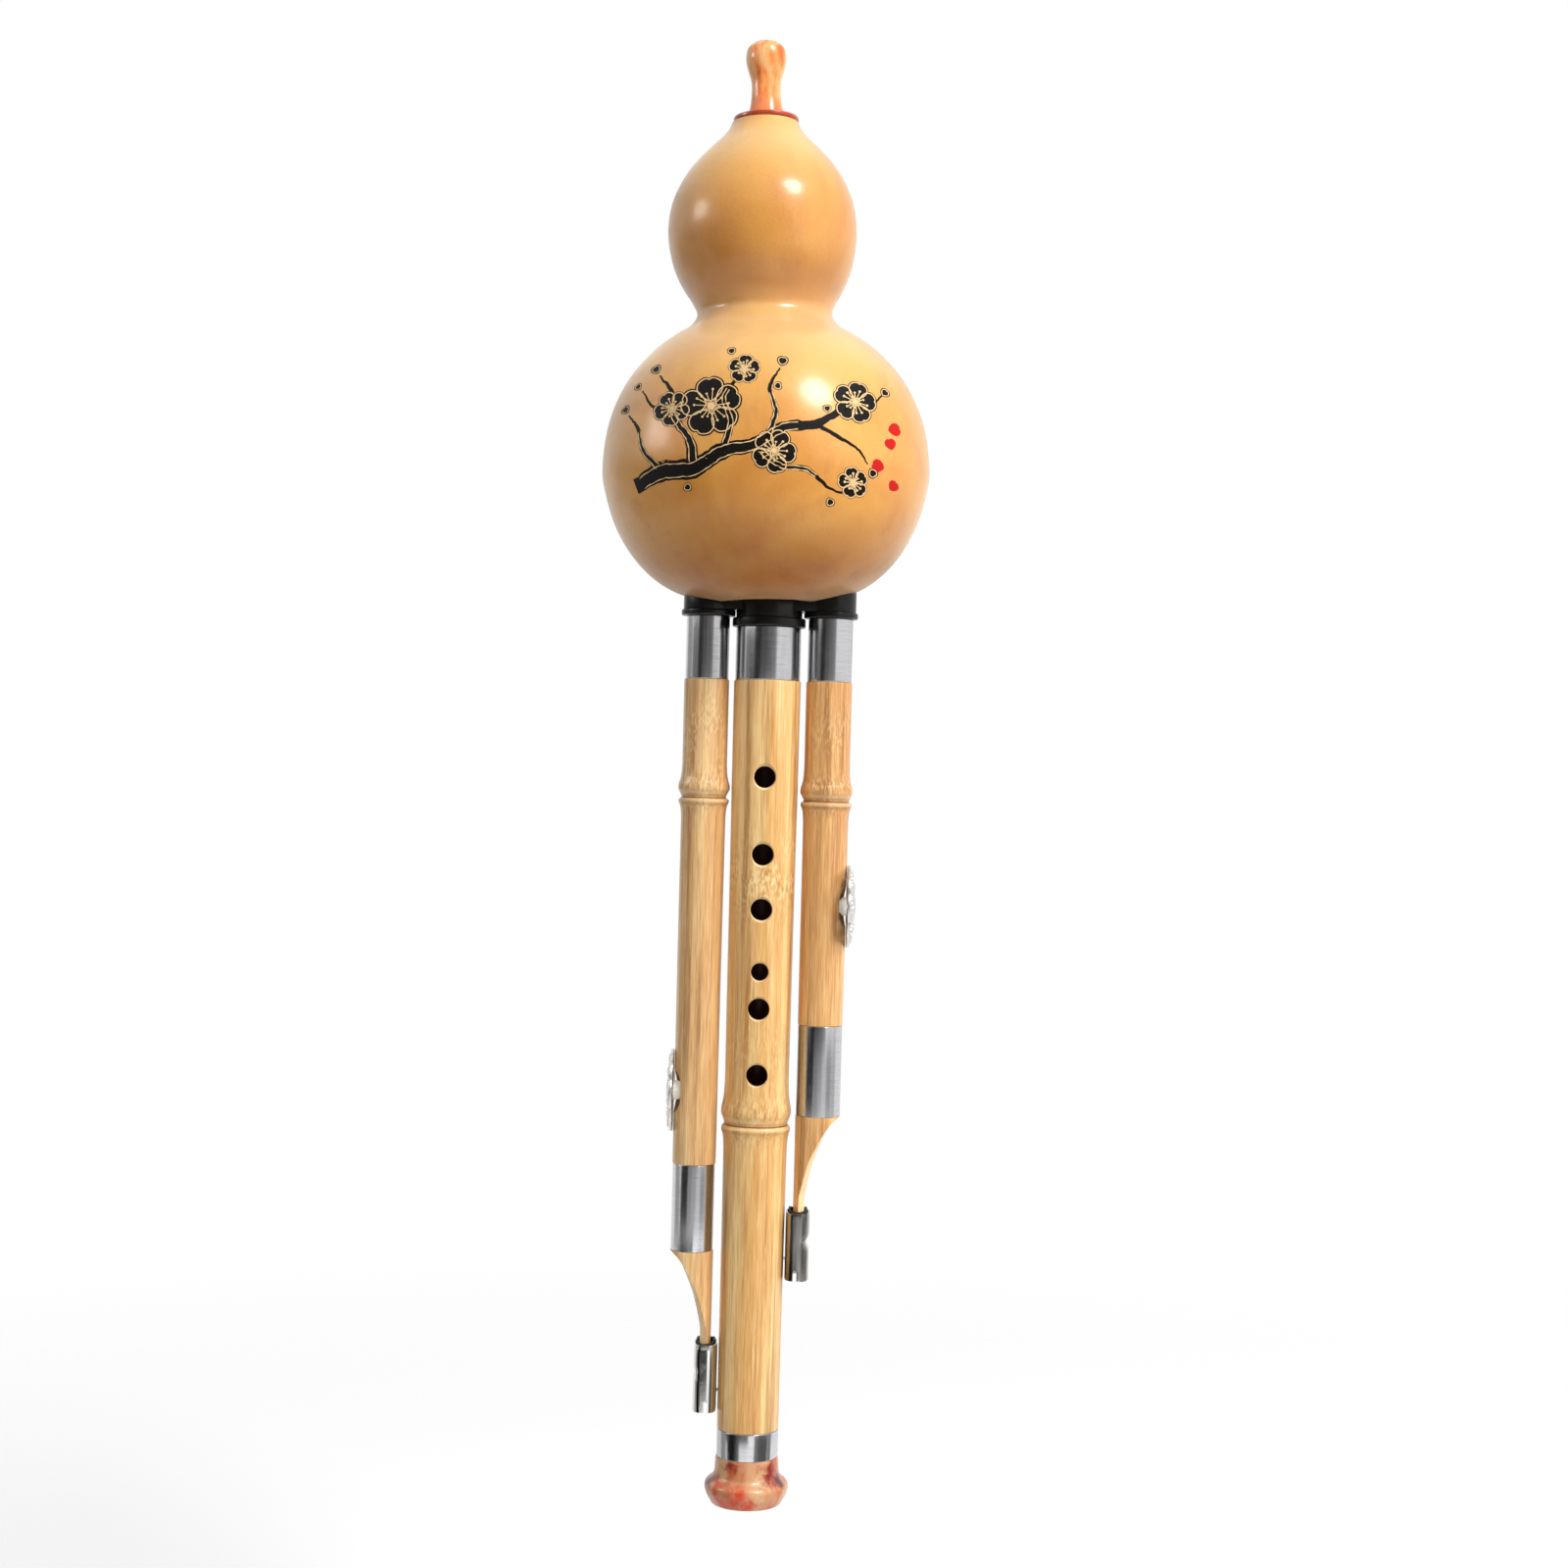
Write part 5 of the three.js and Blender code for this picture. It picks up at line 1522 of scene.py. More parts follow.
def culm_rows(top: float, end: float, node: float, reach: float, plain: int = 90, close: int = 34) -> list[float]:
    """Heights of the rings along a culm, close together round its node.

    Args:
        top: Its upper end.
        end: Its lower end.
        node: The node.
        reach: How far from the node the rings are close.
        plain: How many gaps there are between the ends.
        close: How many gaps there are on each side of the node.

    Returns:
        The heights, top first.
    """
    rows = {round(top + (end - top) * i / plain, 4) for i in range(plain + 1)}
    rows = {row for row in rows if abs(row - node) > reach}
    rows |= {round(node + reach * i / close, 4) for i in range(-close, close + 1)}
    return sorted((row for row in rows if end <= row <= top), reverse=True)


@dataclass(kw_only=True)
class BambooPipe:
    """What the three pipes share: a bamboo culm with one node, hung in its head, and a steel ring low down.

    Lengths run down from the head. A freckle patch is its way down and its strength.
    """

    head: PipeHead
    ring_name: str
    top_radius: float
    end_radius: float
    length: float
    bore: float
    node: float
    swell: float
    reach: float
    lacquer: float
    waviness: float
    wave_seed: float
    ferrule: float
    ferrule_wall: float = 0.5
    ferrule_length: float
    ferrule_sides: int
    ease: float
    sides: int
    crease: float
    tones: tuple[Colour, Colour, Colour]
    freckles: tuple[Pair, ...]
    seed: float
    pale_edge: float

    @property
    def shoulder(self) -> float:
        """Where the skin starts under the sleeve."""
        return -SEAT * 2 - self.head.sleeve_length

    @property
    def ring_rebate(self) -> float:
        """The radius of what goes inside the steel ring."""
        return self.ferrule - self.ferrule_wall - FIT

    @property
    def recess_height(self) -> float | None:
        """The height of a hollow in the side, in the frame's axes."""
        return None

    def radius_at(self, height: float) -> float:
        """The skin's radius before the node's swell."""
        share = (height - self.shoulder) / (-self.length - self.shoulder)
        return self.top_radius + (self.end_radius - self.top_radius) * share

    def bamboo(self) -> Culm:
        """The finish, its pattern laid along this culm."""
        head, (light, tan, brown) = self.head, self.tones
        widening = (self.top_radius - self.end_radius) / (self.length + self.shoulder)
        return Culm(f"{head.name}_bamboo", axis=head.x, node=head.top - self.node, top=head.top + self.shoulder,
                    skin=self.top_radius, widening=widening, light=light, tan=tan, brown=brown,
                    freckles=tuple((head.top - down, strength) for down, strength in self.freckles),
                    seed=self.seed, recess=self.recess_height, pale_edge=self.pale_edge)

    def grow(self, recipe: CulmRecipe, lower: Outline, holes: Sequence[DrillHole], drilled: float,
             cutters: Sequence[Form]) -> None:
        """Turns the culm, shapes and drills it by the recipe, cuts it and dresses it.

        Args:
            recipe: The culm recipe.
            lower: Its outline from the skin's lower end round to the bore.
            holes: The holes that are drilled across it.
            drilled: The distance from its axis at which they widen.
            cutters: What else is cut out of it.
        """
        head, top = self.head, -SEAT * 2 - self.head.shoulder
        rows = culm_rows(self.shoulder, -self.length, -self.node, self.reach)
        outline = [(self.bore, top), (head.rebate, top), (head.rebate, self.shoulder),
                   *((self.radius_at(row), row) for row in rows), (self.ring_rebate, -self.length), *lower]
        thing = lathe(eased(outline, self.ease, 3), self.sides).moved(head.frame).thing(f"{head.name}_pipe_culm")
        finish, points = self.bamboo(), drill_points(head, holes)
        bit = drill_bit(self.top_radius + 3, drilled).thing("bit")
        recipe.apply(thing, {
            "Axis": head.x * MM, "Skin": (self.end_radius - self.lacquer) * MM, "Node": (head.top - self.node) * MM,
            "Reach": self.reach * MM, "Swell": self.swell * MM, "Waviness": self.waviness * MM,
            "Seed": self.wave_seed, "Drill Points": points, "Drill Bit": bit, "Material": finish.material()})
        for tool in (points, bit):
            bpy.data.objects.remove(tool)
        carve(thing, cutters)
        dress(thing, finish, head.body, f"{head.name}_pipe", self.crease)

    def ring(self) -> None:
        """The steel ring round the culm's lower end."""
        top = -self.length - SEAT
        form = tube(self.ferrule, self.ferrule - self.ferrule_wall, top - self.ferrule_length + SEAT, top,
                    self.ferrule_sides, 0.22)
        dress(form.moved(self.head.frame).thing(f"{self.ring_name}_ferrule_ring"), STEEL, self.head.body,
              f"{self.ring_name}_ferrule")


@dataclass
class FootBell:
    """The flared resin foot: a spigot in the bamboo, a bead and an open mouth.

    The rows are shares of the way down and of the way from the narrow to the wide radius.
    """

    neck: float = 9.2
    rim: float = 12.5
    height: float = 13.9
    throat: float = 5.6
    mouth: float = 9.5
    spigot: float = 6.9
    spigot_length: float = 8.0
    flare: tuple = ((0, 0), (0.04, 0.06), (0.2, 0.1), (0.32, 0.14), (0.4, 0.23), (0.46, 0.42), (0.52, 0.74),
                    (0.58, 0.95), (0.64, 1), (0.72, 0.97), (0.82, 0.83), (0.92, 0.6), (1, 0.4))
    hollow: tuple = ((1, 1), (0.9, 0.72), (0.66, 0.33), (0.35, 0.04), (0, 0))
    wine: Colour = tint(142, 30, 24)
    flame: Colour = tint(214, 50, 4)
    plum: Colour = tint(92, 32, 46)

    def resin(self) -> Marble:
        """The foot's own resin, duller than the mouthpiece's, with its dark clouds."""
        stains = (Stain((7.5, -7, -345), 5.6, self.wine), Stain((9.8, -4, -347.5), 4.2, self.plum),
                  Stain((-5, -8.5, -343), 3.6, self.wine), Stain((-11.5, -3, -348.5), 4.8, self.plum),
                  Stain((-6, -10, -352.5), 7.6, self.flame), Stain((1, -11.5, -353.5), 5.0, self.flame),
                  Stain((4, 11, -350), 4.2, self.flame), Stain((-6, 7.5, -345), 3.8, self.wine),
                  Stain((11, 5, -352), 3.4, self.flame))
        return Marble("foot_resin", tint(214, 168, 124), tint(198, 122, 76), tint(190, 74, 34), tint(120, 40, 34),
                      upright=0.6, share=-0.25, scale=0.5, curl=0.8, veins=0.4, coat=0.25, stains=stains)

    def build(self, head: PipeHead, start: float) -> None:
        """Turns the foot and sets it on the pipe.

        Args:
            head: The head that the pipe hangs in.
            start: The foot's shoulder, in the pipe's frame.
        """
        skin = smooth(between(self.flare, (self.neck, self.rim), (start, start - self.height)), 6)
        inner = smooth(between(self.hollow, (self.throat, self.mouth), (start, start - self.height)), 5)
        outline = [(self.throat, start + self.spigot_length), (self.spigot, start + self.spigot_length),
                   (self.spigot, start), *skin, *inner]
        thing = lathe(eased(outline, 0.35, 4), 96).moved(head.frame).thing("foot_bell_turned")
        dress(thing, self.resin(), head.body, "foot_bell")


@dataclass(kw_only=True)
class FingerPipe(BambooPipe):
    """The middle pipe: six holes in front, a thumb hole and a tuning hole behind, and the resin foot.

    The holes' places are shares of the pipe's length.
    """

    ring_name: str = "foot"
    top_radius: float = 10.05
    end_radius: float = 9.2
    length: float = 239.6
    bore: float = 6.4
    node: float = 148.3
    swell: float = 0.95
    reach: float = 13.0
    lacquer: float = 0.2
    waviness: float = 0.1
    wave_seed: float = 4.0
    ferrule: float = 9.2
    ferrule_length: float = 8.2
    ferrule_sides: int = 96
    ease: float = 0.3
    sides: int = 112
    crease: float = 34.0
    tones: tuple[Colour, Colour, Colour] = (tint(250, 212, 146), tint(224, 170, 98), tint(158, 98, 46))
    freckles: tuple[Pair, ...] = ((74.5, 0.7), (128.0, 0.25))
    seed: float = 0.21
    pale_edge: float = 0.75
    holes: tuple[float, ...] = (0.187, 0.283, 0.351, 0.428, 0.474, 0.556)
    hole_radius: float = 3.2
    small_radius: float = 2.6
    small: int = 3
    thumb: float = 0.15
    tuning: float = 0.8
    tuning_radius: float = 2.1
    foot: FootBell = field(default_factory=FootBell)

    def build(self, recipe: CulmRecipe, nails: Sequence[Form]) -> None:
        """Builds the pipe, its ring and its foot.

        Args:
            recipe: The culm recipe.
            nails: The bars that make the holes for the clips' nails.
        """
        front, back = -math.pi / 2, math.pi / 2
        holes = [DrillHole(-self.length * share, self.small_radius if i == self.small else self.hole_radius, front)
                 for i, share in enumerate(self.holes)]
        holes += [DrillHole(-self.length * self.thumb, self.hole_radius, back),
                  DrillHole(-self.length * self.tuning, self.tuning_radius, back)]
        end, socket = -self.length - self.ferrule_length, self.foot.spigot + FIT
        floor = end + self.foot.spigot_length + FIT
        self.grow(recipe, [(self.ring_rebate, end), (socket, end), (socket, floor), (self.bore, floor)], holes,
                  self.top_radius - 0.15, nails)
        self.ring()
        self.foot.build(self.head, end - SEAT)


@dataclass(kw_only=True)
class DronePipe(BambooPipe):
    """A drone pipe: bamboo cut like a quill to a tongue, with a recessed side hole for its stopper.

    A row of the cut is its way down the quill, its edge as a share of the pipe's radius and its lean.
    """

    side: Side
    stopper_body: Body
    stopper: float
    gap: float
    quill: float
    crimp: float = 0.9
    bore: float = 4.4
    reach: float = 10.0
    lacquer: float = 0.15
    waviness: float = 0.08
    ferrule_sides: int = 88
    ease: float = 0.22
    sides: int = 96
    crease: float = 30.0
    pale_edge: float = 3.0
    recess: float = 4.2
    recess_front: float = 1.2
    recess_length: float = 6.6
    recess_depth: float = 2.1
    scoop: tuple = ((0.8, 0.02), (0.94, 0.12), (1, 0.4))
    hole: float = 2.2
    in_clip: float = 10.0
    cut_rows: tuple = ((0, 1, 0), (0.05, 0.68, 0), (0.17, 0.33, 0.25), (0.31, 0.04, 0.45), (0.45, -0.2, 0.7),
                       (0.6, -0.36, 0.9), (0.74, -0.485, 1.2), (0.85, -0.542, 1.49), (1, -0.545, 1.5))
    tip_share: float = -0.6
    notch: float = 0.6

    @property
    def tongue_end(self) -> float:
        """The tongue's tip, in the pipe's frame."""
        return -self.length - self.ferrule_length - self.quill - self.in_clip

    @property
    def recess_height(self) -> float:
        """The height of the recess, in the frame's axes."""
        return self.head.top - self.stopper

    @property
    def recess_floor(self) -> float:
        """The recess's floor, from the pipe's axis."""
        return self.end_radius - self.recess_depth

    def knife(self) -> Form:
        """What the knife takes away from the lower end."""
        far, last = self.end_radius + 1, 1 + self.in_clip / self.quill
        _, edge, lean = self.cut_rows[-1]
        rows = smooth(self.cut_rows, 5) + [((1 + last) / 2, (self.tip_share + edge) / 2, lean),
                                           (last, self.tip_share, lean)]
        rings = []
        for down, reach, lean in rows:
            edge = reach * self.end_radius
            wall = math.sqrt(self.bore ** 2 - edge ** 2) if abs(edge) < self.bore else 0.0
            middle = edge + max(lean, 0) * wall
            height = -self.length - self.ferrule_length - self.quill * down - (1 if down >= last else 0)
            rings.append([(far * 2, -far, height), (far * 2, far, height),
                          *((middle - lean * (math.hypot(y, self.notch) - self.notch), y, height)
                            for y in np.linspace(far, -far, 21))])
        return loft(rings[::-1])

    def recess_scoop(self) -> Form:
        """What the gouge takes away round the side hole."""
        floor, out = self.recess_floor, self.top_radius + 2
        form = lathe([(0, floor), *((wide, floor + rise) for wide, rise in self.scoop), (1.04, out), (0, out)], 48)
        form.points[:, 0] *= self.recess_length
        form.points[:, 1] = form.points[:, 1] * self.recess - self.recess_front * math.cos(self.head.turn)
        return along_x(form, -self.stopper)

    def build(self, recipe: CulmRecipe) -> None:
        """Builds the pipe and its ring, and dresses its plug."""
        lower = -self.length - self.ferrule_length - SEAT
        tail = [(self.end_radius, lower + (self.tongue_end - lower) * i / 26) for i in range(27)]
        self.grow(recipe, [(self.ring_rebate, lower), *tail, (self.bore, self.tongue_end)],
                  [DrillHole(-self.stopper, self.hole)], self.recess_floor,
                  [form.moved(self.head.frame) for form in (self.knife(), self.recess_scoop())])
        self.ring()
        keep(f"{self.head.name}_end_plug", CORK)


@dataclass(frozen=True)
class Ornament:
    """A ring of raised domes on a plate.

    The ring's radius is a share of the plate's. The domes are long along it, stand over the face by the lift,
    and widen outwards by the flare for each millimetre.
    """

    count: int
    ring: float
    long: float
    wide: float
    high: float
    sides: int = 8
    turn: float = 0.0
    lift: float = 0.0
    flare: float = 0.0

    def dome(self, face: float) -> Form:
        """One dome on a plate whose face is at this height."""
        form = lathe([(0, -0.25), (1, -0.25), (1, 0), (0.92, 0.38), (0.7, 0.7), (0.38, 0.92), (0, 1)], self.sides)
        form.points *= np.array([self.long, self.wide, self.high])
        form.points[:, 1] *= 1 + self.flare * form.points[:, 0]
        form.points[:, 2] += face + self.lift
        return form


@dataclass
class Stopper:
    """The pull-out stopper of a drone: a pierced silver plate, a dark washer and a cream button.

    A piercing is its place as a share of the plate's radius, half its length, half its width, and whether it
    lies between two lobes.
    """

    pipe: DronePipe
    radius: float = 12.3
    scallop: float = 0.9
    lobes: int = 8
    half_thickness: float = 0.3
    bevel: float = 0.16
    piercings: tuple = ((0.62, 2.0, 0.95, False), (0.8, 0.95, 0.8, True))
    ornaments: tuple[Ornament, ...] = (
        Ornament(8, 0.52, 2.55, 1.25, 0.36, 16, turn=math.pi / 8, flare=0.12),
        Ornament(8, 0.53, 1.7, 0.3, 0.5, turn=math.pi / 8, lift=0.05),
        Ornament(48, 0.875, 0.42, 0.42, 0.42), Ornament(8, 0.76, 0.62, 0.62, 0.5, 10),
        Ornament(20, 0.29675, 0.34, 0.34, 0.4))
    hub: float = 3.1
    hub_height: float = 0.5
    washer: float = 3.7
    washer_thickness: float = 0.9
    washer_seen: float = 0.3
    clearance: float = 0.2
    pad: float = 2.85
    pad_thickness: float = 1.9
    nipple: float = 1.85
    nipple_length: float = 1.4

    @property
    def washer_in(self) -> float:
        """The CAD washer's inner face, from the pipe's axis."""
        return self.pipe.end_radius + self.pipe.gap

    def plate_loops(self) -> list[Outline]:
        """The plate's scalloped edge and its piercings."""
        edge = []
        for turn in np.linspace(0, 2 * math.pi, 160, endpoint=False):
            lobe = 1 - abs(math.cos(turn * self.lobes / 2)) ** 0.8
            reach = self.radius - self.bevel - self.scallop * lobe
            edge.append((reach * math.cos(turn), reach * math.sin(turn)))
        loops = [edge]
        for i in range(self.lobes):
            for share, long, wide, aside in self.piercings:
                way = (i * 2 + aside) * math.pi / self.lobes
                c, s = math.cos(way), math.sin(way)
                hole = []
                for turn in np.linspace(0, 2 * math.pi, 20, endpoint=False):
                    u = self.radius * share + long * math.cos(turn)
                    v = wide * math.sin(turn) * (1 + 0.35 * math.cos(turn))
                    hole.append((u * c - v * s, u * s + v * c))
                loops.append(hole)
        return loops

    def plate_blank(self) -> Form:
        """The plate's flat body, as a filled curve read back as a form."""
        curve = bpy.data.curves.new("plate_curve", "CURVE")
        curve.dimensions, curve.fill_mode = "2D", "BOTH"
        curve.extrude, curve.bevel_depth, curve.bevel_resolution = self.half_thickness, self.bevel, 2
        for loop in self.plate_loops():
            spline = curve.splines.new("POLY")
            spline.points.add(len(loop) - 1)
            spline.use_cyclic_u = True
            for point, (x, y) in zip(spline.points, loop):
                point.co = (x, y, 0, 1)
        thing = put("plate_curve", curve)
        graph = bpy.context.evaluated_depsgraph_get()
        form = Form.read(bpy.data.meshes.new_from_object(thing.evaluated_get(graph)), 1.0)
        bpy.data.objects.remove(thing)
        return form

    def relief(self, recipe: WhorlRecipe, ornament: Ornament, face: float) -> Form:
        """A ring of ornaments, made by the whorl recipe and read back as a form.

        Args:
            recipe: The whorl recipe.
            ornament: The ornament.
            face: The height of the plate's face.

        Returns:
            The ring.
        """
        thing = recipe.apply(ornament.dome(face).thing("ornament"), {
            "Count": ornament.count, "Ring": ornament.ring * self.radius * MM, "Turn": ornament.turn,
            "Material": SILVER.material()})
        form = Form.read(thing.data)
        bpy.data.objects.remove(thing)
        return form

    def plate(self, recipe: WhorlRecipe) -> Form:
        """The plate with its ornaments and hub, bent a little towards the pipe.

        Args:
            recipe: The whorl recipe.

        Returns:
            The plate, along Z from the pipe's axis.
        """
        face = self.half_thickness + self.bevel
        hub = [(0, 0.2), (self.hub, 0.2), (self.hub, face + 0.3), (self.hub * 0.78, face + 0.62),
               (self.hub * 0.4, face + self.hub_height + 0.2), (0, face + self.hub_height + 0.25)]
        whole = joined([self.plate_blank(), *(self.relief(recipe, ornament, face) for ornament in self.ornaments),
                        lathe(eased(hub, 0.2), 32)])
        out = self.washer_in + self.washer_thickness + SEAT
        whole.points[:, 2] = np.maximum(whole.points[:, 2] + out + face, out)
        away = np.hypot(whole.points[:, 0], whole.points[:, 1]) - self.washer
        rim = np.clip(away / (self.radius - self.washer), 0, 1)
        whole.points[:, 2] -= (out - self.pipe.end_radius - self.clearance) * rim ** 2
        return whole

    def button(self, out: float) -> Form:
        """The button, from its outer face down to its nipple's tip, along Z from the pipe's axis."""
        dome = self.washer_in - SEAT - self.pad_thickness
        tip = dome - self.nipple_length
        return lathe(eased([
            (0, tip), (self.nipple * 0.8, tip), (self.nipple, tip + 0.4 * (dome - tip)), (self.nipple, dome),
            (self.nipple + 0.7 * (self.pad - self.nipple), dome + 0.15 * (out - dome)),
            (self.pad, dome + 0.5 * (out - dome)), (self.pad, out), (0, out)], 0.4, 4, 20), 48)

    def build(self, recipe: WhorlRecipe) -> None:
        """Builds the plate, the washer and the button."""
        high = self.washer_in + self.washer_thickness
        low = high - self.washer_seen
        disc = lathe(eased([(0, low), (self.washer, low), (self.washer, high), (0, high)], 0.16, 3), 48)
        for form, piece, finish, node, slot, crease in (
                (self.plate(recipe), "rosette", SILVER, "plate", Slot.SILVER, 30),
                (disc, "disc", RUBBER, "washer", Slot.RUBBER, 34),
                (self.button(low - SEAT), "button", CREAM, "pad", Slot.CREAM, 34)):
            name = f"{self.pipe.head.name}_stopper"
            thing = along_x(form, -self.pipe.stopper).moved(self.pipe.head.frame).thing(f"{name}_{piece}")
            dress(thing, finish, self.pipe.stopper_body, f"{name}_{node}", crease)


@dataclass
class TongueClip:
    """A rolled sheet clip on the middle pipe that holds a drone's tongue, with its lining and its nail.

    Shares are of its length, down from its top.
    """

    side: Side
    frame: Matrix
    middle: float
    top: float
    half: float
    crimp: float
    crimp_share: float = 0.44
    crimp_reach: float = 0.075
    flare: float = 0.22
    flare_reach: float = 0.03
    depth: float = 5.9
    length: float = 20.0
    wall: float = 0.5
    slot: float = 1.1
    slot_length: float = 3.0
    lining: float = 0.6
    lining_length: float = 6.8
    squeeze: float = 1.2
    pin_share: float = 0.72
    pin_radius: float = 0.6
    pin_start: float = 7.0
    count: int = 72
    rows: int = 40

    @classmethod
    def place(cls, pipe: DronePipe, main: FingerPipe) -> "TongueClip":
        """Sets a clip between a tongue and the middle pipe.

        Args:
            pipe: The drone pipe whose tongue it holds.
            main: The middle pipe that it is nailed to.

        Returns:
            The clip, in the middle pipe's frame, turned to its side.
        """
        middle = abs(pipe.head.x) - pipe.end_radius * (1 - pipe.cut_rows[-1][1]) / 2
        top = pipe.head.top - main.head.top - pipe.length - pipe.ferrule_length - pipe.quill
        share = (main.head.sleeve_length - cls.length / 2 - top) / (main.head.sleeve_length + main.length)
        skin = main.top_radius + (main.end_radius - main.top_radius) * min(share, 1)
        frame_at = Matrix.Translation((0, 0, main.head.top)) @ Matrix.Rotation(pipe.side.turn, 4, "Z")
        return cls(pipe.side, frame_at, middle, top, middle - skin - FIT, pipe.crimp)

    def nail_way(self, clearance: float, start: float) -> Form:
        """The bar that makes the nail's hole."""
        bar = upright(self.pin_radius + clearance, start, self.middle, 20)
        return along_x(bar, self.top - self.length * self.pin_share)

    def nail_hole(self) -> Form:
        """The nail's hole in the bamboo, in the frame's axes."""
        return self.nail_way(FIT, self.pin_start).moved(self.frame)

    def ring(self, inset: float, crimp: float, height: float) -> list[Point]:
        """A level oval, squared a little.

        Args:
            inset: How far inside the clip's outer face it lies.
            crimp: How far its outer side is pushed in.
            height: Its height.

        Returns:
            The points.
        """
        points = []
        for turn in np.linspace(0, 2 * math.pi, self.count, endpoint=False):
            c, s = math.cos(turn), math.sin(turn)
            across = math.copysign(abs(c) ** (2 / 3), c)
            points.append((self.middle + (self.half - inset) * across - crimp * max(across, 0),
                           (self.depth - inset) * math.copysign(abs(s) ** (2 / 3), s), height))
        return points

    def skin(self, inset: float, past: float) -> Form:
        """The clip's outer or inner skin.

        Args:
            inset: How far inside its outer face it lies.
            past: How far it runs past both ends, or 0 for the outer skin with its flared foot.

        Returns:
            The closed form.
        """
        rings = []
        for i in range(self.rows + 1):
            down = 1 - i / self.rows
            crimp = self.crimp * math.exp(-((down - self.crimp_share) / self.crimp_reach) ** 2)
            flare = 0 if past else self.flare * 0.6 * math.exp(-(down / self.flare_reach) ** 2)
            height = self.top - self.length * down + (past if i == self.rows else -past if i == 0 else 0)
            rings.append(self.ring(inset + flare, crimp, height))
        return loft(rings)

    def packing(self) -> Form:
        """The lining as a plug, proud of the mouth at both sides, where the tongue has squeezed it out."""
        form = loft([self.ring(self.wall + FIT, 0, self.top + rise)
                     for rise in np.linspace(-self.lining_length, -SEAT, 12)])
        proud = np.clip((form.points[:, 2] - self.top + 2) / 2, 0, 1) * self.squeeze
        form.points[:, 2] += proud * np.clip(np.abs(form.points[:, 0] - self.middle) / self.half * 1.6 - 0.4, 0, 1)
        return form

    def build(self) -> None:
        """Builds the clip and its lining, and dresses the nail."""
        name, floor = self.side.value, self.top - self.length
        front = -math.cos(self.side.turn) * (self.depth + 1)
        slot = box((self.middle - self.slot, min(front, 0), floor - 1),
                   (self.middle, max(front, 0), floor + self.slot_length))
        mouth = loft([self.ring(self.wall + FIT + self.lining, 0, self.top + rise)
                      for rise in np.linspace(-self.lining_length - 1, 3, 12)])
        for form, cutters, piece, finish, node, edge, record in (
                (self.skin(0, 0), (self.skin(self.wall, 1), slot, self.nail_way(FIT / 2, 0)), "clip_rolled",
                 CLIP_STEELS[self.side], "clip", 0.14, Slot.STEEL),
                (self.packing(), (mouth,), "clip_packing", RUBBER, "clip_lining", 0.12, Slot.RUBBER)):
            thing = form.moved(self.frame).thing(f"{name}_{piece}")
            carve(thing, [cutter.moved(self.frame) for cutter in cutters])
            soften(thing, edge, 2, 50)
            dress(thing, finish, Body.MAIN, f"{name}_{node}")
        keep(f"{name}_clip_pin", STEEL)


@dataclass
class Viewpoint:
    """The camera: its place in metres, its roll in degrees and its lens in millimetres."""

    place: Point = (0.00574, -0.705, -0.1401)
    roll: float = 1.54
    lens: float = 54.0

    def build(self) -> None:
        """Makes the camera and looks through it."""
        data = bpy.data.cameras.new("photo_camera")
        data.lens, data.sensor_width, data.sensor_fit = self.lens, 36.0, "AUTO"
        data.clip_start, data.clip_end = 0.01, 50.0
        camera = put("photo_camera", data)
        camera.matrix_world = (Matrix.Translation(self.place) @ Matrix.Rotation(math.radians(90), 4, "X")
                               @ Matrix.Rotation(math.radians(self.roll), 4, "Z"))
        bpy.context.scene.camera = camera
        log.info("camera at %s", self.place)


@dataclass(frozen=True)
class Lamp:
    """A softbox: which way it stands, its distance and sizes in metres, its power, and if reflections show it."""

    name: str
    way: Point
    distance: float
    width: float
    height: float
    power: float
    shape: str = "RECTANGLE"
    shows: bool = False

    def build(self, aim: Vector) -> None:
        """Stands the lamp round the point that it is aimed at."""
        data = bpy.data.lights.new(f"lamp_{self.name}", "AREA")
        data.shape, data.size, data.size_y, data.energy = self.shape, self.width, self.height, self.power
        lamp = put(f"lamp_{self.name}", data)
        lamp.location = aim + Vector(self.way).normalized() * self.distance
        lamp.rotation_euler = (aim - lamp.location).to_track_quat("-Z", "Y").to_euler()
        lamp.visible_glossy = self.shows


@dataclass(frozen=True)
class CardRow:
    """Cards that show only in reflections and give the steel its bands, in metres round the flute.

    Each card is its azimuth in degrees, its width, and its tone from black, 0, to white, 1, or brighter.
    """

    low: float
    high: float
    distance: float
    cards: tuple[Point, ...]

    def build(self, first: int) -> None:
        """Stands the row's cards, numbered from the first on."""
        for i, (azimuth, width, tone) in enumerate(self.cards, first):
            turn = math.radians(azimuth)
            middle = Vector((math.sin(turn), -math.cos(turn), 0)) * self.distance
            along = Vector((math.cos(turn), math.sin(turn), 0)) * width / 2
            corners = [middle + along * side + Vector((0, 0, height))
                       for side, height in ((-1, self.low), (1, self.low), (1, self.high), (-1, self.high))]
            thing = Form(np.array(corners) / MM, [(0, 1, 2, 3)]).thing(f"studio_card_{i}")
            material, web = new_material(thing.name)
            glow = web.node("ShaderNodeEmission", {}, {"Color": (tone, tone, tone, 1), "Strength": 1.0})
            web.add("ShaderNodeOutputMaterial", {}, {"Surface": glow})
            thing.data.materials.append(material)
            thing.visible_camera = thing.visible_diffuse = thing.visible_shadow = thing.visible_transmission = False


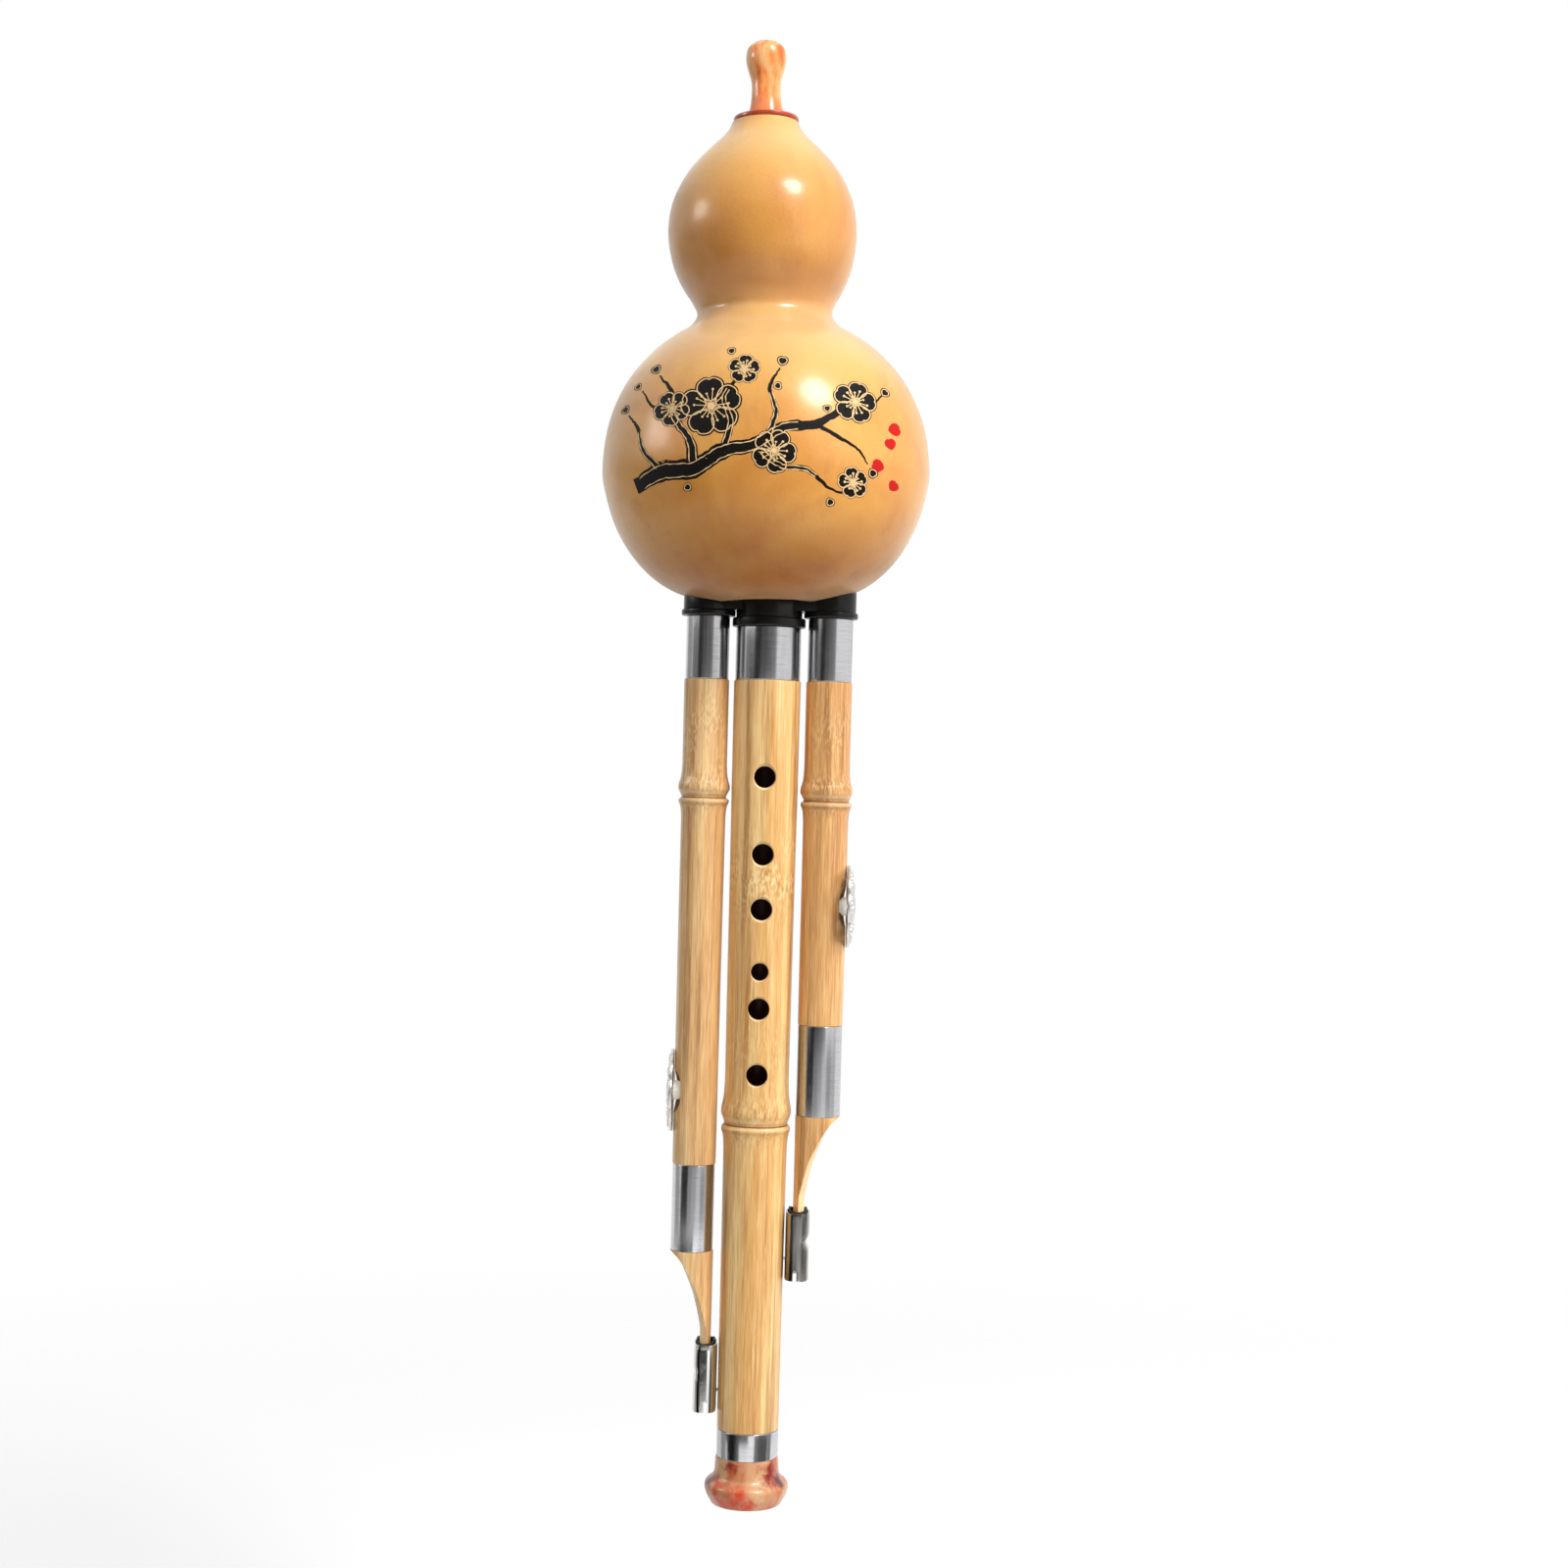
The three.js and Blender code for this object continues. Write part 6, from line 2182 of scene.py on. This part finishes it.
@dataclass
class Studio:
    """A pale floor, a white surround, soft lamps, and the cards in reflections. Lengths are metres."""

    floor: float = -0.475
    floor_size: float = 6.0
    floor_tone: float = 0.6
    floor_glow: float = 0.55
    near: float = 0.35
    far: float = 1.0
    overhead: float = 0.38
    underneath: float = 0.12
    aim: Point = (0, 0, -0.12)
    lamps: tuple[Lamp, ...] = (
        Lamp("key", (0.46, -0.48, 0.71), 1.3, 0.42, 0.42, 12.0, "ELLIPSE", True),
        Lamp("fill", (0.76, -0.62, 0.14), 1.5, 0.9, 0.9, 10.5), Lamp("left", (-0.55, -0.8, 0.2), 1.25, 0.5, 0.6, 2.6),
        Lamp("right", (0.95, -0.05, 0.12), 1.2, 0.4, 0.9, 4.0))
    rows: tuple[CardRow, ...] = (
        # for the sleeves
        CardRow(-0.25, 0.6, 1.2, ((-37, 0.5, 0.03),)),
        CardRow(-0.25, 0.5, 1.2, ((-14, 0.48, 0.11), (6, 0.4, 0.19), (22, 0.3, 0.25))),
        CardRow(-0.25, 0.13, 1.2, ((-66, 0.8, 0.2), (-108, 0.9, 0.4))),
        # a bright window, for the gourd
        CardRow(0.24, 0.56, 1.2, ((-82, 0.4, 9.0),)),
        # for the rings of the drone pipes
        CardRow(-0.62, -0.25, 1.2, ((-49, 0.88, 0.02), (-18, 0.42, 0.36), (4, 0.5, 0.5), (27, 0.48, 0.75),
                                    (51, 0.54, 0.4), (78, 0.56, 0.6), (-95, 0.7, 0.42))),
        # on the floor, for the foot's ring
        CardRow(-0.474, -0.355, 0.2, ((-61, 0.12, 0.0), (-37, 0.05, 0.12), (60, 0.15, 0.1), (33, 0.05, 0.2),
                                      (90, 0.055, 0.25), (-100, 0.1, 0.4))),
        # for the left clip
        CardRow(-0.402, -0.366, 0.3, ((-70, 0.17, 0.0), (-41, 0.17, 0.0), (-12, 0.17, 0.0), (20, 0.17, 1.5),
                                      (50, 0.17, 1.5))))

    def seen(self, web: Web) -> Socket:
        """1 for what the camera sees, straight, in a reflection or through glass."""
        path = web.add("ShaderNodeLightPath")
        share = Socket(web, path.outputs["Is Camera Ray"])
        for ray in ("Is Glossy Ray", "Is Transmission Ray"):
            share = share.maths("MAXIMUM", share, Socket(web, path.outputs[ray]))
        return share

    def world(self) -> None:
        """White to the camera, to reflections and through glass, softer as light."""
        world = bpy.data.worlds.new("surround")
        bpy.context.scene.world = world
        world.use_nodes = True
        web = Web(world.node_tree)
        seen = self.seen(web)
        height = web.node("ShaderNodeTexCoord", out="Generated").parts()[2]
        soft = height.ramp(-0.7, 0.9) * (self.overhead - self.underneath) + self.underneath
        light = web.node("ShaderNodeBackground", {}, {"Color": (1, 1, 1, 1), "Strength": seen + (1 - seen) * soft})
        web.add("ShaderNodeOutputWorld", {}, {"Surface": light})

    def ground(self) -> None:
        """The pale floor, which keeps the shadow, fades out and is clear from below."""
        half, level = self.floor_size / MM / 2, self.floor / MM
        corners = [(-half, -half, level), (half, -half, level), (half, half, level), (-half, half, level)]
        thing = Form(np.array(corners), [(0, 1, 2, 3)]).thing("studio_floor")
        material, web = new_material("pale_floor")
        matte = web.node("ShaderNodeBsdfDiffuse", {}, {"Color": (*[self.floor_tone] * 3, 1)})
        glow = web.node("ShaderNodeEmission", {}, {"Color": (1, 1, 1, 1), "Strength": self.seen(web) * self.floor_glow})
        lit = web.node("ShaderNodeAddShader", {}, {0: matte, 1: glow})
        below = web.node("ShaderNodeNewGeometry", out="Backfacing")
        x, y, _ = web.place().parts()
        gone = below.maths("MAXIMUM", below, ((x * x + y * y) ** 0.5).ramp(self.near, self.far))
        clear = web.node("ShaderNodeBsdfTransparent")
        mixed = web.node("ShaderNodeMixShader", {}, {0: gone, 1: lit, 2: clear})
        web.add("ShaderNodeOutputMaterial", {}, {"Surface": mixed})
        thing.data.materials.append(material)

    def build(self) -> None:
        """Sets up the studio."""
        bpy.context.scene.view_settings.view_transform = "Standard"
        self.world()
        self.ground()
        count = 0
        for row in self.rows:
            row.build(count)
            count += len(row.cards)
        for lamp in self.lamps:
            lamp.build(Vector(self.aim))
        log.info("studio: %d lamps, %d cards", len(self.lamps), count)


STEEL = SheetSteel("polished_steel")
CLIP_STEELS = {
    Side.LEFT: SheetSteel("left_clip_steel", tint(220, 218, 214), tint(128, 124, 118), polish=0.07, wear=0.5, dent=0.2,
                          turned=0.1),
    Side.RIGHT: SheetSteel("right_clip_steel", tint(190, 187, 182), tint(74, 70, 66), polish=0.16, wear=1.1, dent=0.5,
                           turned=0.1)}
BLACK = Moulding("black_plastic")
IVORY = Moulding("ivory_plastic", tint(222, 212, 186), tint(200, 184, 150), gloss=0.38, grain=700, shine=0.5)
# the cream buttons glow a little: painted light, for the light that the plate and the pipe keep off them
CREAM = Moulding("cream_silicone", tint(255, 252, 242), tint(246, 236, 212), gloss=0.42, grain=1200, depth=0.03,
                 shine=0.5, glow=0.3)
RUBBER = Moulding("black_rubber", tint(34, 32, 30), tint(64, 58, 52), gloss=0.62, grain=1500, depth=0.04)
SILVER = CastSilver("cast_silver")
BRASS = RolledBrass("rolled_brass")
CORK = PressedCork("pressed_cork")

MAIN_HEAD = PipeHead(
    name="main", body=Body.MAIN, x=0.0, top=-93.4, turn=0.0, flange_radius=11.0, flange=2.75, bush=8.7, tenon=7.2,
    tenon_bore=5.0, tenon_wall=1.3, above=46.0, shoulder=2.0, spigot=10.0, seal=7.55, seal_inner=6.5, seal_height=2.2,
    sleeve=9.8, sleeve_wall=0.6, sleeve_length=15.9, bore=6.4, reed_width=7.2, reed_length=25.0, reed_flat=5.6,
    sides=96)
SIDE_SIZES = dict(
    top=-90.4, flange_radius=8.1, flange=1.85, bush=6.3, tenon=5.1, tenon_bore=3.2, tenon_wall=1.0, above=40.0,
    shoulder=1.6, spigot=9.0, seal=5.4, seal_inner=4.5, seal_height=1.8, sleeve_wall=0.5, sleeve_length=18.9, bore=4.4,
    reed_width=5.2, reed_length=21.0, reed_flat=3.9, sides=80)
LEFT_HEAD = PipeHead(name="left", body=Body.LEFT, x=-18.2, turn=Side.LEFT.turn, sleeve=6.5, **SIDE_SIZES)
RIGHT_HEAD = PipeHead(name="right", body=Body.RIGHT, x=18.5, turn=Side.RIGHT.turn, sleeve=6.7, **SIDE_SIZES)
DRONES = (
    DronePipe(
        head=LEFT_HEAD, ring_name="left", side=Side.LEFT, stopper_body=Body.LEFT_STOPPER, top_radius=6.75,
        end_radius=6.5, length=163.8, node=54.1, swell=1.05, stopper=142.2, gap=-0.25, ferrule=6.35,
        ferrule_length=25.9, quill=27.6, crimp=0.25, freckles=((30.0, 0.35), (42.0, 0.3)), seed=0.5,
        wave_seed=9.5, tones=(tint(246, 208, 150), tint(220, 170, 110), tint(154, 100, 52))),
    DronePipe(
        head=RIGHT_HEAD, ring_name="right", side=Side.RIGHT, stopper_body=Body.RIGHT_STOPPER, top_radius=6.9,
        end_radius=6.7, length=121.5, node=54.4, swell=1.0, stopper=85.9, gap=0.35, ferrule=6.65,
        ferrule_length=27.1, quill=28.9, tones=(tint(238, 186, 120), tint(206, 148, 84), tint(144, 84, 40)),
        freckles=((36.0, 0.3),), seed=0.9, wave_seed=9.9))


def main() -> None:
    """Builds the flute from the head down."""
    logging.basicConfig(level=logging.INFO, format="%(message)s")
    Viewpoint().build()
    Studio().build()
    gourd = Gourd()
    heads = (MAIN_HEAD, LEFT_HEAD, RIGHT_HEAD)
    shell = gourd.build(heads).data
    skin = BVHTree.FromPolygons([vertex.co for vertex in shell.vertices], [face.vertices for face in shell.polygons])
    PlumBranch(skin).build()
    Mouthpiece(gourd).build()
    keep("mouthpiece_cork", CORK)
    for head in heads:
        head.build()
    Saddle(gourd, heads).build()
    culms, whorls = CulmRecipe(), WhorlRecipe()
    finger_pipe = FingerPipe(head=MAIN_HEAD)
    clips = [TongueClip.place(drone, finger_pipe) for drone in DRONES]
    finger_pipe.build(culms, [clip.nail_hole() for clip in clips])
    for drone, clip in zip(DRONES, clips):
        drone.build(culms)
        Stopper(drone).build(whorls)
        clip.build()


if __name__ == "__main__":
    main()
